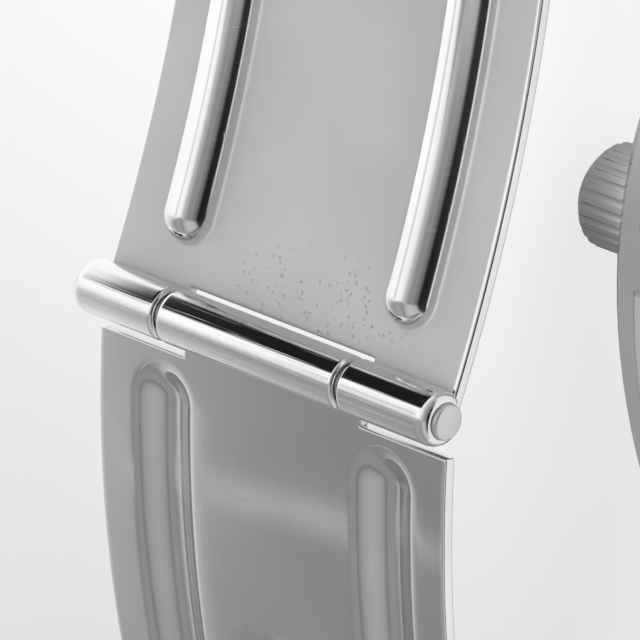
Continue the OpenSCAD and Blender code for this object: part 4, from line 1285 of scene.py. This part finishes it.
@dataclass(frozen=True)
class Card:
    """A flat card with soft edges that only polished metal shows.

    Args:
        name: Name of the card.
        middle: Middle of the card on the floor, in millimetres.
        half: Half sizes in millimetres.
        turn: Turn about the vertical, in degrees.
        level: Brightness of the card.
        soft: Share of each half size over which the edge fades.
        height: Height of the card, in millimetres.
    """

    name: str
    middle: Spot
    half: Spot
    turn: float
    level: float
    soft: Spot
    height: float

    def build(self) -> None:
        """Lays the card."""
        shape = bmesh.new()
        bmesh.ops.create_grid(shape, x_segments=1, y_segments=1, size=1.0)
        half = Vector((*self.half, 1.0)) * MM
        bmesh.ops.scale(shape, verts=shape.verts, vec=half)
        angle = math.radians(self.turn)
        bmesh.ops.rotate(shape, verts=shape.verts, cent=(0, 0, 0), matrix=Matrix.Rotation(angle, 3, "Z"))
        middle = Vector((*self.middle, self.height)) * MM
        bmesh.ops.translate(shape, verts=shape.verts, vec=middle)
        card = placed(self.name, shape)
        for kind in ("camera", "diffuse", "transmission", "shadow", "volume_scatter"):
            setattr(card, f"visible_{kind}", False)
        material, desk, place = new_material(self.name)
        local = desk.add("ShaderNodeMapping", {"vector_type": "TEXTURE"}, Vector=place, Location=middle,
                         Rotation=(0, 0, angle), Scale=half).outputs[0]
        axes = desk.add("ShaderNodeSeparateXYZ", Vector=local)
        masks = []
        for axis, soft in zip((0, 1), self.soft):
            away = desk.maths("ABSOLUTE", axes.outputs[axis])
            fade = desk.add("ShaderNodeMapRange", {"interpolation_type": "SMOOTHSTEP"}, n0=away, n1=1.0,
                            n2=1.0 - soft, n3=0.0, n4=1.0)
            masks.append(fade.outputs[0])
        glow = desk.add("ShaderNodeEmission", Color=(self.level, self.level, self.level, 1.0))
        clear = desk.add("ShaderNodeBsdfTransparent")
        desk.surface(desk.add("ShaderNodeMixShader", n0=desk.maths("MULTIPLY", *masks),
                              n1=clear.outputs[0], n2=glow.outputs[0]))
        card.data.materials.append(material)


@dataclass
class Studio:
    """Floor, cards, lamp, surroundings and camera.

    Args:
        floor_level: Height of the floor, in millimetres.
        floor_radius: Radius of the floor, in metres.
        camera_spot: Place of the camera, in millimetres.
        forward: Direction in which it looks.
        right: Direction to the right of the picture.
        up: Direction to the top of the picture.
        lens: Focal length, in millimetres.
        film: Width of the film, in millimetres.
        lamp_spot: Place of the lamp, in metres.
        lamp_size: Width of the lamp, in metres.
        lamp_power: Power of the lamp, in watts.
    """

    floor_level: float = -21.1
    floor_radius: float = 1.5
    camera_spot: Place = (101.64962, 237.76569, 198.12863)
    forward: Place = (-0.31119368, -0.68654976, -0.65712093)
    right: Place = (0.07458984, -0.70696586, 0.70330337)
    up: Place = (0.94741482, -0.16984902, -0.27121295)
    lens: float = 556.6
    film: float = 36.0
    lamp_spot: Place = (-0.15, 0.1, 0.6)
    lamp_size: float = 0.5
    lamp_power: float = 2.0

    def camera(self) -> None:
        """Places the camera at the photograph's viewing angle."""
        data = bpy.data.cameras.new("camera")
        data.lens, data.sensor_width, data.sensor_fit = self.lens, self.film, "HORIZONTAL"
        data.clip_start, data.clip_end = 0.01, 20.0
        camera = bpy.data.objects.new("camera", data)
        turn = Matrix([self.right, self.up, [-c for c in self.forward]]).transposed()
        camera.matrix_world = Matrix.Translation(Vector(self.camera_spot) * MM) @ turn.to_4x4()
        bpy.context.scene.collection.objects.link(camera)
        bpy.context.scene.camera = camera

    def cards(self) -> None:
        """Lays the grey and black cards that shape the reflections round the middle hinge."""
        for card in (
            Card("streak_card", (-13.7, 50.9), (14.0, 2.2), 121.0, 0.58, (0.6, 1.0), -21.03),
            Card("shade_card", (12.8, 66.0), (6.0, 10.0), 0.0, 0.72, (0.8, 0.9), -21.0),
            Card("black_card_near", (52.2, 44.5), (30.5, 14.0), 14.0, 0.012, (0.13, 0.45), -20.95),
            Card("black_card_far", (42.6, 62.3), (30.0, 12.0), 50.0, 0.012, (0.1, 0.32), -20.94),
            Card("black_card_wide", (65.3, 47.2), (30.0, 30.0), 14.0, 0.012, (0.1, 0.3), -20.93),
            Card("low_card", (45.3, 1.3), (20.0, 19.0), -40.0, 0.02, (0.06, 0.3), -20.92),
        ):
            card.build()

    def build(self) -> None:
        """Builds the studio."""
        self.camera()
        self.cards()
        self.floor()
        self.surroundings()
        self.lamp()
        bpy.context.scene.view_settings.view_transform = "Standard"

    def floor(self) -> None:
        """Lays the pale floor, which glows with a painted falloff of light for the camera, and which polished
        metal sees as a painted reflection, paler to one side and with painted shade to the other.
        """
        shape = bmesh.new()
        bmesh.ops.create_circle(shape, cap_ends=True, radius=self.floor_radius, segments=96)
        bmesh.ops.translate(shape, verts=shape.verts, vec=(0, 0, self.floor_level * MM))
        floor = placed("floor", shape)
        material, desk, place = new_material("pale_floor_painted_light")
        axes = desk.add("ShaderNodeSeparateXYZ", Vector=place)
        # Painted falloff of light: the floor that the camera sees glows brighter towards +X and towards -Y.
        painted_falloff = desk.maths("MULTIPLY_ADD", axes.outputs[0], 16.0,
                           desk.maths("MULTIPLY_ADD", axes.outputs[1], -7.0, 0.66))
        level = desk.ramp(painted_falloff, [(0.15, 0.5), (0.75, 0.79)], "LINEAR")
        # Painted reflection for polished metal: bright within 70 mm of the middle and fading further out, with
        # painted shade towards -X.
        painted_bright_side = desk.ramp(desk.length(place), [(0.07, 0.92), (0.12, 0.8), (0.3, 0.66), (0.7, 0.6)],
                              "LINEAR")
        close = desk.length(desk.mapped(place, (20.0, 20.0, 0.0), shift=(0.0, -0.52, 0.0)))
        shaded_side = desk.ramp(close, [(0.2, 0.62), (0.36, 0.42), (0.45, 0.26), (0.6, 0.13), (0.8, 0.1),
                                        (1.0, 0.14)])
        share = desk.ramp(desk.maths("MULTIPLY_ADD", axes.outputs[0], -25.0, 0.5), [(0.2, 0.0), (0.55, 1.0)])
        mirror = desk.mirror_rays()
        tone = desk.blend(mirror, level, desk.blend(share, painted_bright_side, shaded_side))
        camera = desk.add("ShaderNodeLightPath").outputs["Is Camera Ray"]
        seen = desk.maths("MINIMUM", desk.maths("ADD", camera, mirror), 1.0)
        glow = desk.add("ShaderNodeEmission", Color=tone, Strength=seen)
        matt = desk.add("ShaderNodeBsdfDiffuse", Color=(0.2, 0.2, 0.2, 1.0))
        desk.surface(desk.add("ShaderNodeAddShader", n0=glow.outputs[0], n1=matt.outputs[0]))
        floor.data.materials.append(material)

    def surroundings(self) -> None:
        """Gives the world an even light, and for reflections a sky that is dark overhead and pale behind."""
        world = bpy.data.worlds.new("studio")
        bpy.context.scene.world = world
        world.use_nodes = True
        desk = NodeDesk(world.node_tree)
        axes = desk.add("ShaderNodeSeparateXYZ", Vector=desk.add("ShaderNodeTexCoord").outputs["Generated"])
        rise = desk.maths("MULTIPLY_ADD", axes.outputs[2], 0.5, 0.5)
        black = desk.ramp(rise, [(0.5, 0.62), (0.595, 0.47), (0.663, 0.33), (0.75, 0.27), (0.78, 0.33),
                                 (0.808, 0.26), (0.883, 0.18), (0.912, 0.1), (0.933, 0.01)], "LINEAR")
        grey = desk.ramp(rise, [(0.5, 0.26), (0.56, 0.42), (0.7, 0.6), (0.88, 0.5), (0.94, 0.03)], "LINEAR")
        pale = desk.ramp(rise, [(0.5, 0.4), (0.58, 0.5), (0.66, 0.85), (0.9, 0.92)], "LINEAR")
        left = desk.ramp(desk.maths("MULTIPLY", axes.outputs[0], -1.0), [(0.02, 0.0), (0.2, 1.0)])
        behind = desk.ramp(desk.maths("MULTIPLY", axes.outputs[1], -1.0), [(0.0, 0.0), (0.08, 1.0)])
        sky = desk.blend(behind, desk.blend(left, black, grey), pale)
        colour = desk.blend(desk.mirror_rays(), (0.8, 0.8, 0.8), sky)
        desk.surface(desk.add("ShaderNodeBackground", Color=colour, Strength=1.0), "ShaderNodeOutputWorld")

    def lamp(self) -> None:
        """Hangs one large soft lamp above."""
        data = bpy.data.lights.new("soft_top", "AREA")
        data.shape, data.size, data.energy = "DISK", self.lamp_size, self.lamp_power
        lamp = bpy.data.objects.new("soft_top", data)
        lamp.location = self.lamp_spot
        lamp.rotation_euler = Vector(self.lamp_spot).to_track_quat("Z", "Y").to_euler()
        lamp.visible_glossy = False
        bpy.context.scene.collection.objects.link(lamp)


def main() -> None:
    """Builds every sub-assembly in order."""
    logging.basicConfig(level=logging.INFO, format="%(message)s")
    Studio().build()
    for part in (FoldingClasp(), Bracelet(), CaseWork(), DialWork(), MovementWork()):
        part.build()
        LOG.info("%s is built", type(part).__name__)


if __name__ == "__main__":
    main()
